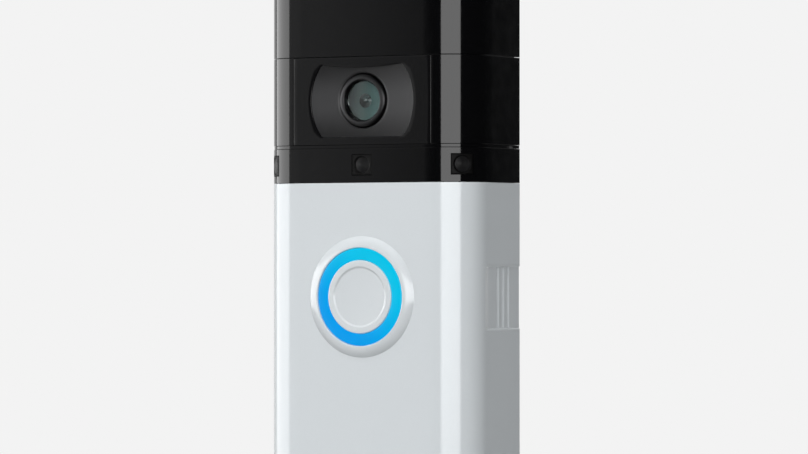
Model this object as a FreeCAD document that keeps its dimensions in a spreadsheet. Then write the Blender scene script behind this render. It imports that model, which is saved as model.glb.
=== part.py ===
"""Battery video doorbell: outer skins, sealed inner housing, camera, button, battery and electronics.

Frame: X to the right of someone facing the doorbell, Y into the wall, Z up. The origin is the centre
of the flat back that lies on the wall. "out" is the distance from the wall, so out = -Y.
"""

import FreeCAD
import Part
import Sketcher
import os
import re

# ---------------------------------------------------------------- driving dimensions (mm)

SIZES = [
    ("width", 62.0, "overall width of the outer skins"),
    ("height", 129.5, "overall height"),
    ("upper_height", 51.5, "height of the dark upper part"),
    ("corner_radius", 10.0, "radius of the two long front corners"),
    ("skin", 1.6, "wall of the faceplate and covers"),
    ("skin_fit", 0.3, "gap between the skins and the housing inside"),
    ("seam", 0.15, "gap between neighbouring skins"),
    ("wall_gap", 0.5, "gap from the skins' back edges to the wall"),
    ("edge_round", 1.0, "rounding of the top and bottom rims"),
    ("top_wall", 2.0, "top cover's roof"),
    ("bottom_wall", 2.4, "faceplate's floor"),
    ("housing_wall", 1.6, "wall of the inner housing"),
    ("back_wall", 1.8, "back plate of the inner housing"),
    ("rim_height", 1.2, "rear housing's rim in front of its back plate"),
    ("seal_height", 0.6, "rubber seal between the housing halves"),
    ("cell_diameter", 18.2, "battery cell"),
    ("cell_length", 65.0, "battery cell"),
    ("cell_gap", 0.4, "gap between the two cells"),
    ("cell_fit", 0.1, "gap between a cell and the pack's case"),
    ("pack_wall", 0.8, "pack's front and rear walls"),
    ("pack_side", 1.6, "pack's side walls"),
    ("pack_end", 2.5, "pack's end walls"),
    ("bay_fit", 0.25, "gap between the pack and its bay"),
    ("bay_wall", 1.0, "wall of the battery bay"),
    ("board", 1.0, "circuit board thickness"),
    ("main_board_back", 7.0, "main board's rear face from the wall"),
    ("shield_height", 2.4, "shield cans on the main board"),
    ("holder_clear", 0.4, "least gap between the shield cans and the camera's board"),
    ("holder_depth", 6.0, "camera holder"),
    ("bracket_drop", 4.0, "camera bracket behind the lens surround"),
    ("switch_height", 2.0, "button switch with its stem"),
    ("ear_hole_radius", 2.0, "wall screw holes"),
    ("ear_thickness", 5.0, "material under a wall screw's head"),
    ("ear_half", 3.6, "half height of the pocket around a wall screw"),
    ("ear_width", 6.5, "width of that pocket, unless the battery bay is in its way"),
    ("ear_wall", 1.2, "wall of that pocket"),
    ("bay_clear", 0.15, "gap between the battery bay and what passes beside it"),
    ("ear_drop", 4.8, "upper wall screws below the split line"),
    ("button_drop", 29.2, "button's centre below the split line"),
    ("button_radius", 9.4, "button cap"),
    ("button_fit", 0.15, "gap around the button cap"),
    ("button_proud", 1.15, "button and its collar stand out of the face"),
    ("stem_radius", 1.5, "button switch's stem and the cap's post"),
    ("dish_radius", 7.65, "recess in the button cap"),
    ("dish_depth", 0.3, "recess in the button cap"),
    ("ring_width", 2.85, "visible width of the light ring"),
    ("ring_fit", 0.2, "gap between the light ring and the collar"),
    ("collar_width", 2.95, "sloping collar around the light ring"),
    ("band_top", 32.4, "camera band's upper line above the split line"),
    ("band_bottom", 9.7, "camera band's lower line above the split line"),
    ("trim_height", 0.8, "thin band under the camera band"),
    ("trim_inset", 0.12, "thin band set back from the face"),
    ("lens_rise", 21.1, "lens axis above the split line"),
    ("panel_half_width", 20.5, "camera panel"),
    ("panel_thickness", 0.8, "camera panel"),
    ("panel_gap", 0.15, "gap around the camera panel"),
    ("eye_radius", 15.2, "round ends of the panel's opening"),
    ("eye_half_height", 9.35, "flat edges of the panel's opening"),
    ("eye_dip", 0.8, "sag of the opening's upper edge"),
    ("surround_lip", 0.5, "lens surround reaches this far behind the panel"),
    ("surround_depth", 0.7, "dish of the lens surround"),
    ("surround_thickness", 3.6, "lens surround"),
    ("lens_ring_radius", 6.85, "ring around the lens"),
    ("lens_ring_gap", 0.45, "gap around that ring"),
    ("lens_radius", 4.9, "front lens"),
    ("barrel_radius", 6.0, "lens barrel"),
    ("filter_travel", 6.2, "infrared filter changes place"),
    ("filter_half", 3.6, "half width of one filter window's frame"),
    ("motion_rise", 4.6, "motion windows above the split line"),
    ("motion_half_width", 2.9, "motion window"),
    ("motion_half_height", 2.65, "motion window"),
    ("motion_lens_radius", 2.0, "lens in a motion window"),
    ("motion_can_radius", 2.5, "motion sensor"),
    ("grille_half_height", 8.0, "side grille"),
    ("grille_depth", 0.5, "side grille's recess"),
    ("grille_reach", 18.0, "side grille's front edge from the wall"),
    ("grille_drop", 29.4, "side grille's centre below the split line"),
    ("slot_width", 1.27, "grille slot"),
    ("slot_pitch", 2.62, "grille slot to slot"),
    ("slot_out", 9.8, "middle grille slot from the wall"),
    ("screw_radius", 1.2, "security screw"),
    ("screw_fit", 0.1, "gap around the security screw"),
    ("screw_length", 8.0, "security screw's shank"),
    ("case_screw_radius", 1.1, "screws that join the housing halves"),
]

# Places and sizes that follow from the driving dimensions.
LINKS = {
    "battery_stack": "back_wall + 2 * bay_fit + cell_diameter + 2 * pack_wall + bay_wall + board"
    " + switch_height + skin_fit + skin",
    "camera_stack": "main_board_out + shield_height + holder_clear + 2 * board + holder_depth"
    " + bracket_drop + surround_thickness + panel_thickness",
    "depth": "max(battery_stack, camera_stack)",
    "half": "width / 2",
    "top": "height / 2",
    "bottom": "-height / 2",
    "split": "height / 2 - upper_height",
    "house_half": "half - skin - skin_fit",
    "house_out": "depth - skin - skin_fit",
    "house_top": "top - top_wall - skin_fit",
    "house_low": "bottom + bottom_wall + skin_fit",
    "house_inner": "house_half - housing_wall",
    "house_inner_out": "house_out - housing_wall",
    "seal_out": "back_wall + rim_height",
    "front_out": "back_wall + rim_height + seal_height",
    "ear_inner": "max(house_half - ear_width, bay_half + bay_wall + bay_clear + ear_wall)",
    "ear_x": "(ear_inner + house_half) / 2",
    "ear_high_z": "split - ear_drop",
    "ear_low_z": "house_low + ear_half + 0.4",
    "pack_half": "cell_gap / 2 + cell_diameter + pack_side",
    "pack_back": "back_wall + bay_fit",
    "pack_out": "back_wall + bay_fit + 2 * pack_wall + cell_diameter",
    "pack_top": "house_low + cell_length + 2 * pack_end",
    "bay_half": "pack_half + bay_fit",
    "bay_out": "pack_out + bay_fit",
    "bay_front": "bay_out + bay_wall",
    "bay_top": "pack_top + bay_fit + bay_wall",
    "board_out": "bay_front + board",
    "button_board_top": "split - 4.2",
    "ribbon_z": "max(bay_top, button_board_top + bay_clear) + 5.5",
    "button_z": "split - button_drop",
    "button_out": "depth + button_proud",
    "ring_in": "button_radius + button_fit",
    "ring_out": "ring_in + ring_width",
    "collar_in": "ring_out + ring_fit",
    "collar_out": "collar_in + collar_width",
    "flange_radius": "ring_out + 1.1",
    "flange_out": "house_out - 0.1",
    "catch_radius": "ring_in + 0.8",
    "catch_out": "house_out + 1.35",
    "lens_z": "split + lens_rise",
    "band_high_z": "split + band_top",
    "band_low_z": "split + band_bottom",
    "trim_low_z": "band_low_z - trim_height",
    "panel_back": "depth - panel_thickness",
    "surround_radius": "eye_radius + surround_lip",
    "surround_half": "eye_half_height + surround_lip",
    "surround_back": "panel_back - surround_thickness",
    "surround_hole": "lens_ring_radius + lens_ring_gap",
    "barrel_out": "panel_back - 1.3",
    "bracket_out": "surround_back - bracket_drop",
    "holder_out": "bracket_out - board",
    "holder_back": "holder_out - holder_depth",
    "slot_back": "holder_back + 1.8",
    "led_board_out": "surround_back - 1.4",
    "motion_z": "split + motion_rise",
    "corner_x": "half - corner_radius",
    "corner_out": "depth - corner_radius",
    "grille_z": "split - grille_drop",
    "screw_out": "house_out - 1.8",
    "main_board_out": "main_board_back + board",
    "main_board_half": "house_inner - 6.1",
    "main_board_low": "bay_top + 1.8",
    "main_board_top": "house_top - 2.4",
    "terminal_z": "lens_z + 10.65",
    "terminal_x": "6.5",
    "terminal_floor": "back_wall + 2.7",
    "case_boss_x": "house_inner - 2.9",
    "bracket_half": "house_inner - 8",
}

# Heights of the screws, the hidden setup button's height, and the battery contacts.
CASE_SCREWS = ("house_top - 4.4", "split + 9.5", "button_z - 26")
BOARD_SCREWS = ("main_board_low + 2.8", "main_board_top - 3.4")
SETUP_Z = "(split - 7.2)"
PIN_X = (-3.5, 0, 3.5)
PIN_OUT = "10.5"

DOC = FreeCAD.newDocument("video_doorbell")
SHEET = DOC.addObject("Spreadsheet::Sheet", "Sizes")
NAMES = {name for name, value, note in SIZES}
NODES = []

UP = FreeCAD.Rotation()
OUTWARD = FreeCAD.Rotation(FreeCAD.Vector(1, 0, 0), 90)
SIDEWAYS = FreeCAD.Rotation(FreeCAD.Vector(0, 1, 0), 90)


# ---------------------------------------------------------------- helpers


def fill_sheet():
    """Writes the driving dimensions into the sheet, one row each, with an alias and a note."""
    for row, (name, value, note) in enumerate(SIZES, start=1):
        SHEET.set(f"A{row}", name)
        SHEET.set(f"B{row}", str(value))
        SHEET.set(f"C{row}", note)
        SHEET.setAlias(f"B{row}", name)
    DOC.recompute()


def formula(text):
    """A size written with the names above, as an expression on the sheet's cells."""

    def swap(match):
        word = match.group(0)
        if word in LINKS:
            return "(" + formula(LINKS[word]) + ")"
        return "Sizes." + word if word in NAMES else word

    return re.sub(r"[a-z][a-z_]*", swap, str(text))


def bind(item, field, text):
    item.setExpression(field, formula(text))


def place(item, x, out, z, turn=UP):
    """Puts an item at a place in the frame that follows the sheet."""
    item.Placement = FreeCAD.Placement(FreeCAD.Vector(), turn)
    bind(item, "Placement.Base.x", x)
    bind(item, "Placement.Base.y", f"-({out})")
    bind(item, "Placement.Base.z", z)
    return item


def block(name, x, out, z):
    """A box between two places along each direction."""
    item = DOC.addObject("Part::Box", name)
    bind(item, "Length", f"({x[1]}) - ({x[0]})")
    bind(item, "Width", f"({out[1]}) - ({out[0]})")
    bind(item, "Height", f"({z[1]}) - ({z[0]})")
    return place(item, x[0], out[1], z[0])


def rod(name, x, out, z, radius):
    """A cylinder along the direction whose place is given as a pair."""
    item = DOC.addObject("Part::Cylinder", name)
    bind(item, "Radius", radius)
    span = next(p for p in (x, out, z) if isinstance(p, tuple))
    bind(item, "Height", f"({span[1]}) - ({span[0]})")
    if span is x:
        return place(item, x[0], out, z, SIDEWAYS)
    if span is out:
        return place(item, x, out[0], z, OUTWARD)
    return place(item, x, out, z[0])


def hidden_union(name, parts):
    """One shape from several, for use as a tool."""
    if len(parts) == 1:
        return parts[0]
    item = DOC.addObject("Part::MultiFuse", name)
    item.Shapes = parts
    return item


def cut(name, base, *tools):
    item = DOC.addObject("Part::Cut", name)
    item.Base = base
    item.Tool = hidden_union(name + "_tools", list(tools))
    return item


def common(name, base, tool):
    item = DOC.addObject("Part::Common", name)
    item.Base = base
    item.Tool = tool
    return item


def group(name, parts):
    """Separate solids that share one node."""
    item = DOC.addObject("Part::Compound", name)
    item.Links = parts
    return item


def node(item, label):
    """Names a finished sub-part and adds it to the ones that are written out."""
    item.Label = label
    NODES.append(item)
    return item


def outline(body, name, plane, points, offset="0"):
    """A closed sketch of straight lines on one of the body's origin planes, its corners bound to the sheet."""
    sketch = body.newObject("Sketcher::SketchObject", name)
    support = next(f for f in body.Origin.OriginFeatures if f.Role == plane)
    sketch.AttachmentSupport = [(support, "")]
    sketch.MapMode = "FlatFace"
    bind(sketch, "AttachmentOffset.Base.z", offset)
    count = len(points)
    rough = [FreeCAD.Vector(i, i * i, 0) for i in range(count)]
    for i in range(count):
        sketch.addGeometry(Part.LineSegment(rough[i], rough[(i + 1) % count]), False)
    for i in range(count):
        sketch.addConstraint(Sketcher.Constraint("Coincident", i, 2, (i + 1) % count, 1))
    for i, (across, along) in enumerate(points):
        for kind, text in (("DistanceX", across), ("DistanceY", along)):
            index = sketch.addConstraint(Sketcher.Constraint(kind, -1, 1, i, 1, 1.0 + i))
            bind(sketch, f"Constraints[{index}]", text)
    return sketch


def round_edges(body, name, chosen, radius):
    """A fillet on the edges of the body's tip that the test picks."""
    DOC.recompute()
    tip = body.Tip
    names = [f"Edge{i}" for i, edge in enumerate(tip.Shape.Edges, start=1) if chosen(edge.BoundBox)]
    item = body.newObject("PartDesign::Fillet", name)
    item.Base = (tip, names)
    bind(item, "Radius", radius)
    return item


def rounded_block(name, side, out, z, radius):
    """A block as wide as twice side, with its two long front corners rounded."""
    body = DOC.addObject("PartDesign::Body", name)
    corners = [(f"-({side})", out[0]), (side, out[0]), (side, out[1]), (f"-({side})", out[1])]
    points = [(across, f"-({away})") for across, away in corners]
    pad = body.newObject("PartDesign::Pad", name + "_pad")
    pad.Profile = outline(body, name + "_plan", "XY_Plane", points, z[0])
    bind(pad, "Length", f"({z[1]}) - ({z[0]})")
    DOC.recompute()
    front = pad.Shape.BoundBox.YMin

    def upright_front(box):
        return box.ZLength > 0.1 and box.YLength < 0.01 and abs(box.YMin - front) < 0.01

    round_edges(body, name + "_corners", upright_front, radius)
    return body


def soften_end(body, name, at_top, radius):
    """Rounds the rim at the top or the bottom of a rounded block, apart from its back edge."""
    DOC.recompute()
    whole = body.Tip.Shape.BoundBox
    level = whole.ZMax if at_top else whole.ZMin

    def on_rim(box):
        flat = box.ZLength < 0.01 and abs(box.ZMin - level) < 0.01
        return flat and not (box.YLength < 0.01 and abs(box.YMax - whole.YMax) < 0.01)

    round_edges(body, name, on_rim, radius)


def turned(name, points):
    """A body turned about its own Z from (radius, height) corners."""
    body = DOC.addObject("PartDesign::Body", name)
    profile = outline(body, name + "_profile", "XZ_Plane", points)
    turn = body.newObject("PartDesign::Revolution", name + "_turn")
    turn.Profile = profile
    turn.ReferenceAxis = (profile, ["V_Axis"])
    turn.Angle = 360
    return body


def wrap(name, z, inset="0", ends=()):
    """An outer skin that wraps the front and both sides, open at the back and at the ends not in ends."""
    outer = rounded_block(
        name + "_outer", f"half - ({inset})", (
            "wall_gap", f"depth - ({inset})"
        ), z, f"corner_radius - ({inset})"
    )
    for end in ends:
        soften_end(outer, f"{name}_{end}_rim", end == "top", "edge_round")
    low = "bottom + bottom_wall" if "bottom" in ends else f"({z[0]}) - 1"
    high = "top - top_wall" if "top" in ends else f"({z[1]}) + 1"
    inner = rounded_block(
        name + "_inner", "half - skin", (
            "wall_gap - 1", "depth - skin"
        ), (low, high), "corner_radius - skin"
    )
    return cut(name + "_shell", outer, inner)


def ear_boxes(name, grow, out):
    """The four pockets around the wall screws, made larger by grow towards the housing's inside."""
    boxes = []
    for side, sign in (("left", -1), ("right", 1)):
        for level, z in (("upper", "ear_high_z"), ("lower", "ear_low_z")):
            near, far = f"{sign} * (ear_inner - ({grow}))", f"{sign} * (house_half + 1)"
            across = (near, far) if sign > 0 else (far, near)
            low = f"{z} - ear_half - ({grow})" if level == "upper" else "house_low - 1"
            spread = (low, f"{z} + ear_half + ({grow})")
            boxes.append(block(f"{name}_{side}_{level}", across, out, spread))
    return boxes


def housing_walls(name, out):
    """The inner housing's side walls over a stretch of its depth, with the walls of the screw pockets."""
    span = (out[0], out[1])
    long_span = (f"({out[0]}) - 1", f"({out[1]}) + 1")
    whole = rounded_block(
        name + "_solid", "house_half", ("0", "house_out"), ("house_low", "house_top"), inner_corner()
    )
    slab = block(name + "_slab", ("-half", "half"), span, ("bottom", "top"))
    solid = common(name + "_slice", whole, slab)
    hollow = rounded_block(
        name + "_cavity",
        "house_inner",
        ("-1", "house_inner_out"),
        ("house_low + housing_wall", "house_top - housing_wall"),
        f"{inner_corner()} - housing_wall",
    )
    pocket_walls = common(
        name + "_pockets", hidden_union(
            name + "_pocket_blocks", ear_boxes(name + "_b", "ear_wall", long_span)
        ), solid
    )
    shell = cut(name + "_shell", solid, hollow)
    joined = hidden_union(name + "_joined", [shell, pocket_walls])
    return joined, long_span


def inner_corner():
    return "corner_radius - skin - skin_fit"


def barrel_shape(name, radius, half_height, out):
    """A disc with its top and bottom cut flat, centred on the lens."""
    disc = rod(name + "_disc", "0", out, "lens_z", radius)
    bar = block(
        name + "_bar",
        (f"-({radius}) - 1", f"({radius}) + 1"),
        out,
        (f"lens_z - ({half_height})", f"lens_z + ({half_height})"),
    )
    return common(name, disc, bar)


def at_corner(item, sign, reach):
    """Points an item made along Z out of a long front corner, starting at reach from its centre."""
    slant = FreeCAD.Rotation(FreeCAD.Vector(0, 0, 1), 45 * sign)
    item.Placement = FreeCAD.Placement(FreeCAD.Vector(), slant * OUTWARD)
    bind(item, "Placement.Base.x", f"{sign} * (corner_x + ({reach}) * sqrt(0.5))")
    bind(item, "Placement.Base.y", f"-(corner_out + ({reach}) * sqrt(0.5))")
    bind(item, "Placement.Base.z", "motion_z")
    return item


# ---------------------------------------------------------------- outer skins


def make_faceplate():
    shell = wrap("faceplate", ("bottom", "split - seam / 2"), ends=("bottom",))
    collar = DOC.addObject("Part::Cone", "faceplate_collar")
    bind(collar, "Radius1", "collar_out")
    bind(collar, "Radius2", "collar_in + 0.3")
    bind(collar, "Height", "button_proud")
    place(collar, "0", "depth", "button_z", OUTWARD)
    back_ring = rod("faceplate_collar_back", "0", ("depth - skin", "depth"), "button_z", "collar_out")
    hooks = []
    for sign in (-1, 1):
        near, far = sorted(
            (f"{sign} * 9", f"{sign} * 16"), key=lambda text: sign * int(text.split()[-1])
        )
        hooks.append(
            block(
                "hook",
                (near, far),
                ("house_out - 1.1", "depth - skin - 0.2"),
                ("split - 3", "split + 2.2"),
            )
        )
        hooks.append(
            block(
                "hook_root",
                (near, far),
                ("depth - skin - 0.2", "depth - skin"),
                ("split - 3", "split - 0.3"),
            )
        )
    solid = hidden_union("faceplate_solid", [shell, collar, back_ring, *hooks])
    tools = [
        rod("button_hole", "0", ("depth - skin - 1", "button_out + 1"), "button_z", "collar_in"),
        rod(
            "screw_hole",
            "0",
            "screw_out",
            ("bottom - 1", "bottom + bottom_wall + 1"),
            "screw_radius + screw_fit",
        ),
        rod(
            "screw_head_seat",
            "0",
            "screw_out",
            ("bottom - 1", "bottom + 1.4"),
            "2 * screw_radius + screw_fit",
        ),
    ]
    for sign in (-1, 1):
        edge, past = f"{sign} * (half - grille_depth)", f"{sign} * (half + 1)"
        inside = f"{sign} * (half - skin - 1)"
        tall = ("grille_z - grille_half_height", "grille_z + grille_half_height")
        sides = (edge, past) if sign > 0 else (past, edge)
        tools.append(block("grille_recess", sides, ("wall_gap - 1", "grille_reach"), tall))
        sides = (inside, past) if sign > 0 else (past, inside)
        slot_tall = (tall[0] + " + 0.15", tall[1] + " - 0.15")
        for step in (-1, 0, 1):
            middle = f"slot_out + {step} * slot_pitch"
            span = (f"{middle} - slot_width / 2", f"{middle} + slot_width / 2")
            tools.append(block("grille_slot", sides, span, slot_tall))
    node(cut("faceplate", solid, *tools), "faceplate")


def make_covers():
    top_cover = wrap("top_cover", ("band_high_z + seam / 2", "top"), ends=("top",))
    node(top_cover, "top_cover")

    camera_shell = wrap("camera_cover", ("band_low_z + seam / 2", "band_high_z - seam / 2"))
    panel_pocket = block(
        "panel_pocket",
        ("-panel_half_width - panel_gap", "panel_half_width + panel_gap"),
        ("panel_back", "depth + 1"),
        ("band_low_z", "band_high_z"),
    )
    eye_clear = barrel_shape(
        "cover_eye", "surround_radius + panel_gap", "surround_half + panel_gap", (
            "house_out", "depth + 1"
        )
    )
    node(cut("camera_cover", camera_shell, panel_pocket, eye_clear), "camera_cover")

    trim = wrap("trim_band", ("trim_low_z", "band_low_z"), inset="trim_inset")
    node(trim, "trim_band")

    sensor_shell = wrap("sensor_cover", ("split + seam / 2", "trim_low_z - seam / 2"))
    node(cut("sensor_cover", sensor_shell, *window_blocks("window_gap", "0.08")), "sensor_cover")


def window_blocks(name, grow):
    """The blocks that cut the motion windows out of the skin: one in front, one on each long corner."""
    across = f"motion_half_width + ({grow})"
    tall = f"motion_half_height + ({grow})"
    blocks = [
        block(
            name + "_middle",
            (f"-({across})", across),
            ("depth - skin - 1", "depth + 1"),
            (f"motion_z - ({tall})", f"motion_z + ({tall})"),
        )
    ]
    for sign in (-1, 1):
        body = DOC.addObject("PartDesign::Body", f"{name}_{'right' if sign > 0 else 'left'}")
        points = [
            (f"-({across})", f"-({tall})"),
            (across, f"-({tall})"),
            (across, tall),
            (f"-({across})", tall),
        ]
        pad = body.newObject("PartDesign::Pad", body.Name + "_pad")
        pad.Profile = outline(body, body.Name + "_outline", "XY_Plane", points)
        bind(pad, "Length", "skin + 2")
        blocks.append(at_corner(body, sign, "corner_radius - skin - 1"))
    return blocks


def window_discs(name, radius, start, end):
    """Three short rods through the motion windows, between two depths below the skin's outer face."""
    discs = [rod(name + "_middle", "0", (f"depth - ({start})", f"depth - ({end})"), "motion_z", radius)]
    for sign in (-1, 1):
        disc = DOC.addObject("Part::Cylinder", f"{name}_{'right' if sign > 0 else 'left'}")
        bind(disc, "Radius", radius)
        bind(disc, "Height", f"({start}) - ({end})")
        discs.append(at_corner(disc, sign, f"corner_radius - ({start})"))
    return discs


def make_motion_sensors():
    skin_strip = wrap("window_strip", ("split", "trim_low_z"))
    seats = window_discs("window_seat", "motion_lens_radius + 0.05", "0.6", "-1")
    panes = [
        cut("motion_pane", common("motion_patch", skin_strip, tool), seat)
        for tool, seat in zip(window_blocks("window", "0"), seats)
    ]
    node(group("motion_windows", panes), "motion_windows")
    node(
        group("motion_lenses", window_discs("motion_lens", "motion_lens_radius", "0.6", "0.12")),
        "motion_lenses",
    )
    back = "depth - bracket_out - 1.1"
    cans = window_discs("motion_can", "motion_can_radius", back, "skin + 0.65")
    node(group("motion_sensors", cans), "motion_sensors")
    pads = window_discs("motion_board", "motion_can_radius + 0.6", back + " + 0.8", back)
    node(group("motion_boards", pads), "motion_boards")


def make_camera_panel():
    plate = block(
        "panel_plate",
        ("-panel_half_width", "panel_half_width"),
        ("panel_back", "depth"),
        ("band_low_z + seam / 2 + 0.05", "band_high_z - seam / 2 - 0.05"),
    )
    eye = barrel_shape("panel_eye", "eye_radius", "eye_half_height", ("panel_back - 1", "depth + 1"))
    sag_radius = "((eye_radius ^ 2 - eye_half_height ^ 2) / (2 * eye_dip) + eye_dip / 2)"
    sag = rod(
        "panel_sag",
        "0",
        ("panel_back - 2", "depth + 2"),
        f"lens_z + eye_half_height - eye_dip + {sag_radius}",
        sag_radius,
    )
    node(cut("camera_panel", plate, cut("panel_opening", eye, sag)), "camera_panel")


# ---------------------------------------------------------------- inner housing


def make_front_housing():
    joined, long_span = housing_walls("front_housing", ("front_out", "house_out"))
    pads = []
    pockets = []
    for sign in (-1, 1):
        near, far = (8, 17) if sign > 0 else (-17, -8)
        pads.append(
            block(
                "hook_pad",
                (near, far),
                ("house_inner_out - 0.9", "house_inner_out"),
                ("split - 3.6", "split + 3.2"),
            )
        )
        near, far = (8.8, 16.2) if sign > 0 else (-16.2, -8.8)
        pockets.append(
            block(
                "hook_pocket",
                (near, far),
                ("house_out - 1.25", "house_out + 1"),
                ("split - 3.2", "split + 2.5"),
            )
        )
    screw_boss = block(
        "screw_boss", (-3, 3), ("bay_out + 0.25", "house_inner_out"), ("house_low", "house_low + 10")
    )
    bosses = [
        hidden_union(
            "case_boss",
            [
                rod("case_boss_post", f"{sign} * case_boss_x", ("front_out", "14"), z, "2.4"),
                block(
                    "case_boss_rib",
                    (f"{sign} * case_boss_x - 1 + {sign} * 2", f"{sign} * case_boss_x + 1 + {sign} * 2"),
                    ("front_out", "14"),
                    (f"({z}) - 1", f"({z}) + 1"),
                ),
            ],
        )
        for sign in (-1, 1)
        for z in CASE_SCREWS
    ]
    solid = hidden_union("front_housing_solid", [joined, *pads, screw_boss, *bosses])
    tools = [
        *ear_boxes("front_housing_ear", "0", long_span),
        *pockets,
        block(
            "battery_mouth",
            ("-bay_half", "bay_half"),
            ("0", "bay_out"),
            ("house_low - 1", "house_low + housing_wall + 0.001"),
        ),
        rod(
            "button_well",
            "0",
            ("house_inner_out - 1", "house_out + 1"),
            "button_z",
            "flange_radius + 0.15",
        ),
        barrel_shape(
            "housing_eye",
            "surround_radius + panel_gap",
            "surround_half + panel_gap",
            ("house_inner_out - 1", "house_out + 1"),
        ),
        *window_discs(
            "motion_hole", "motion_can_radius + 0.15", "skin + skin_fit + housing_wall + 3", "skin"
        ),
        block(
            "speaker_window",
            ("house_inner - 1", "house_half + 1"),
            (
                "slot_out - slot_pitch - slot_width / 2 - 0.5",
                "slot_out + slot_pitch + slot_width / 2 + 0.5",
            ),
            ("grille_z - grille_half_height + 1", "grille_z + grille_half_height - 1"),
        ),
        rod("mic_hole", ("-house_half - 1", "-house_inner + 1"), "slot_out", "grille_z", "0.8"),
        rod("setup_hole", "16", ("house_inner_out - 1", "house_out + 1"), SETUP_Z, "2.05"),
        block(
            "setup_pocket",
            ("13.4", "18.6"),
            ("house_inner_out - 0.1", "house_inner_out + 1"),
            (f"{SETUP_Z} - 2.6", f"{SETUP_Z} + 2.6"),
        ),
        rod(
            "screw_pilot",
            "0",
            "screw_out",
            ("house_low - 1", "house_low + 9"),
            "screw_radius + screw_fit / 2",
        ),
    ]
    tools += [
        rod("case_pilot", f"{sign} * case_boss_x", ("0", "11"), z, "case_screw_radius + 0.05")
        for sign in (-1, 1)
        for z in CASE_SCREWS
    ]
    node(cut("front_housing", solid, *tools), "front_housing")


def make_rear_housing():
    walls, long_span = housing_walls("rear_housing", ("back_wall", "seal_out"))
    plate = block(
        "back_plate", ("-house_half", "house_half"), ("0", "back_wall"), ("house_low", "house_top")
    )
    rim = cut(
        "rear_rim",
        walls,
        *ear_boxes("rear_ear_clear", "0", long_span),
        block(
            "battery_gap",
            ("-bay_half", "bay_half"),
            ("back_wall", "bay_out"),
            ("house_low - 1", "house_low + 2"),
        ),
    )
    ears = []
    for sign in (-1, 1):
        for z, low in (("ear_high_z", "ear_high_z - ear_half + 0.2"), ("ear_low_z", "house_low")):
            near, far = f"{sign} * (ear_inner + 0.2)", f"{sign} * house_half"
            across = (near, far) if sign > 0 else (far, near)
            ears.append(
                block(
                    "ear", across, ("back_wall - 0.5", "ear_thickness"), (low, f"{z} + ear_half - 0.2")
                ),
            )
    posts = [
        rod(
            "board_post",
            f"{x} * (main_board_half - 2.6)",
            ("back_wall - 0.5", "main_board_back"),
            z,
            "2.2",
        )
        for x in (-1, 1)
        for z in BOARD_SCREWS
    ]
    terminal_box = block(
        "terminal_box", (-13.2, 13.2), (
            "back_wall - 0.5", "terminal_floor + 1.2"
        ), ("terminal_z - 8.2", "terminal_z + 8.2")
    )
    solid = hidden_union("rear_housing_solid", [plate, rim, *ears, *posts, terminal_box])
    tools = [
        block(
            "terminal_pocket", (-12, 12), ("-1", "terminal_floor"), ("terminal_z - 7", "terminal_z + 7")
        ),
        block(
            "latch_pocket",
            (-3.3, 3.3),
            ("back_wall - 0.9", "back_wall + 0.1"),
            ("house_low + 0.8", "house_low + 1.65"),
        ),
    ]
    for sign in (-1, 1):
        tools.append(
            rod(
                "terminal_hole", f"{sign} * terminal_x", ("0", "terminal_floor + 2"), "terminal_z", "1.6"
            )
        )
        for z in ("ear_high_z", "ear_low_z"):
            tools.append(
                rod("ear_hole", f"{sign} * ear_x", ("-1", "ear_thickness + 1"), z, "ear_hole_radius")
            )
        for z in CASE_SCREWS:
            tools.append(
                rod(
                    "case_hole",
                    f"{sign} * case_boss_x",
                    ("-1", "back_wall + 2"),
                    z,
                    "case_screw_radius + 0.15",
                ),
            )
            tools.append(rod("case_head_seat", f"{sign} * case_boss_x", ("-1", "1.1"), z, "2.2"))
        for z in BOARD_SCREWS:
            tools.append(
                rod(
                    "board_pilot",
                    f"{sign} * (main_board_half - 2.6)",
                    ("2.6", "main_board_back + 1"),
                    z,
                    "0.9",
                )
            )
    node(cut("rear_housing", solid, *tools), "rear_housing")


def make_seal():
    joined, long_span = housing_walls("housing_seal", ("seal_out", "front_out"))
    gap = block(
        "seal_gap", ("-bay_half", "bay_half"), ("0", "bay_out"), ("house_low - 1", "house_low + 2")
    )
    node(cut("housing_seal", joined, *ear_boxes("seal_ear", "0", long_span), gap), "housing_seal")


def make_battery_bay():
    outer = block(
        "bay_outer",
        ("-bay_half - bay_wall", "bay_half + bay_wall"),
        ("back_wall", "bay_front"),
        ("house_low + housing_wall", "bay_top"),
    )
    inner = block(
        "bay_inner",
        ("-bay_half", "bay_half"),
        ("back_wall - 1", "bay_out"),
        ("house_low", "bay_top - bay_wall"),
    )
    notch = block(
        "bay_notch", (-3.3, 3.3), ("bay_out - 1", "bay_front + 1"), ("house_low", "house_low + 10.3")
    )
    holes = [
        rod("pin_hole", x, PIN_OUT, ("bay_top - 2 * bay_wall", "bay_top + 1"), "0.75") for x in PIN_X
    ]
    node(cut("battery_bay", outer, inner, notch, *holes), "battery_bay")


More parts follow.
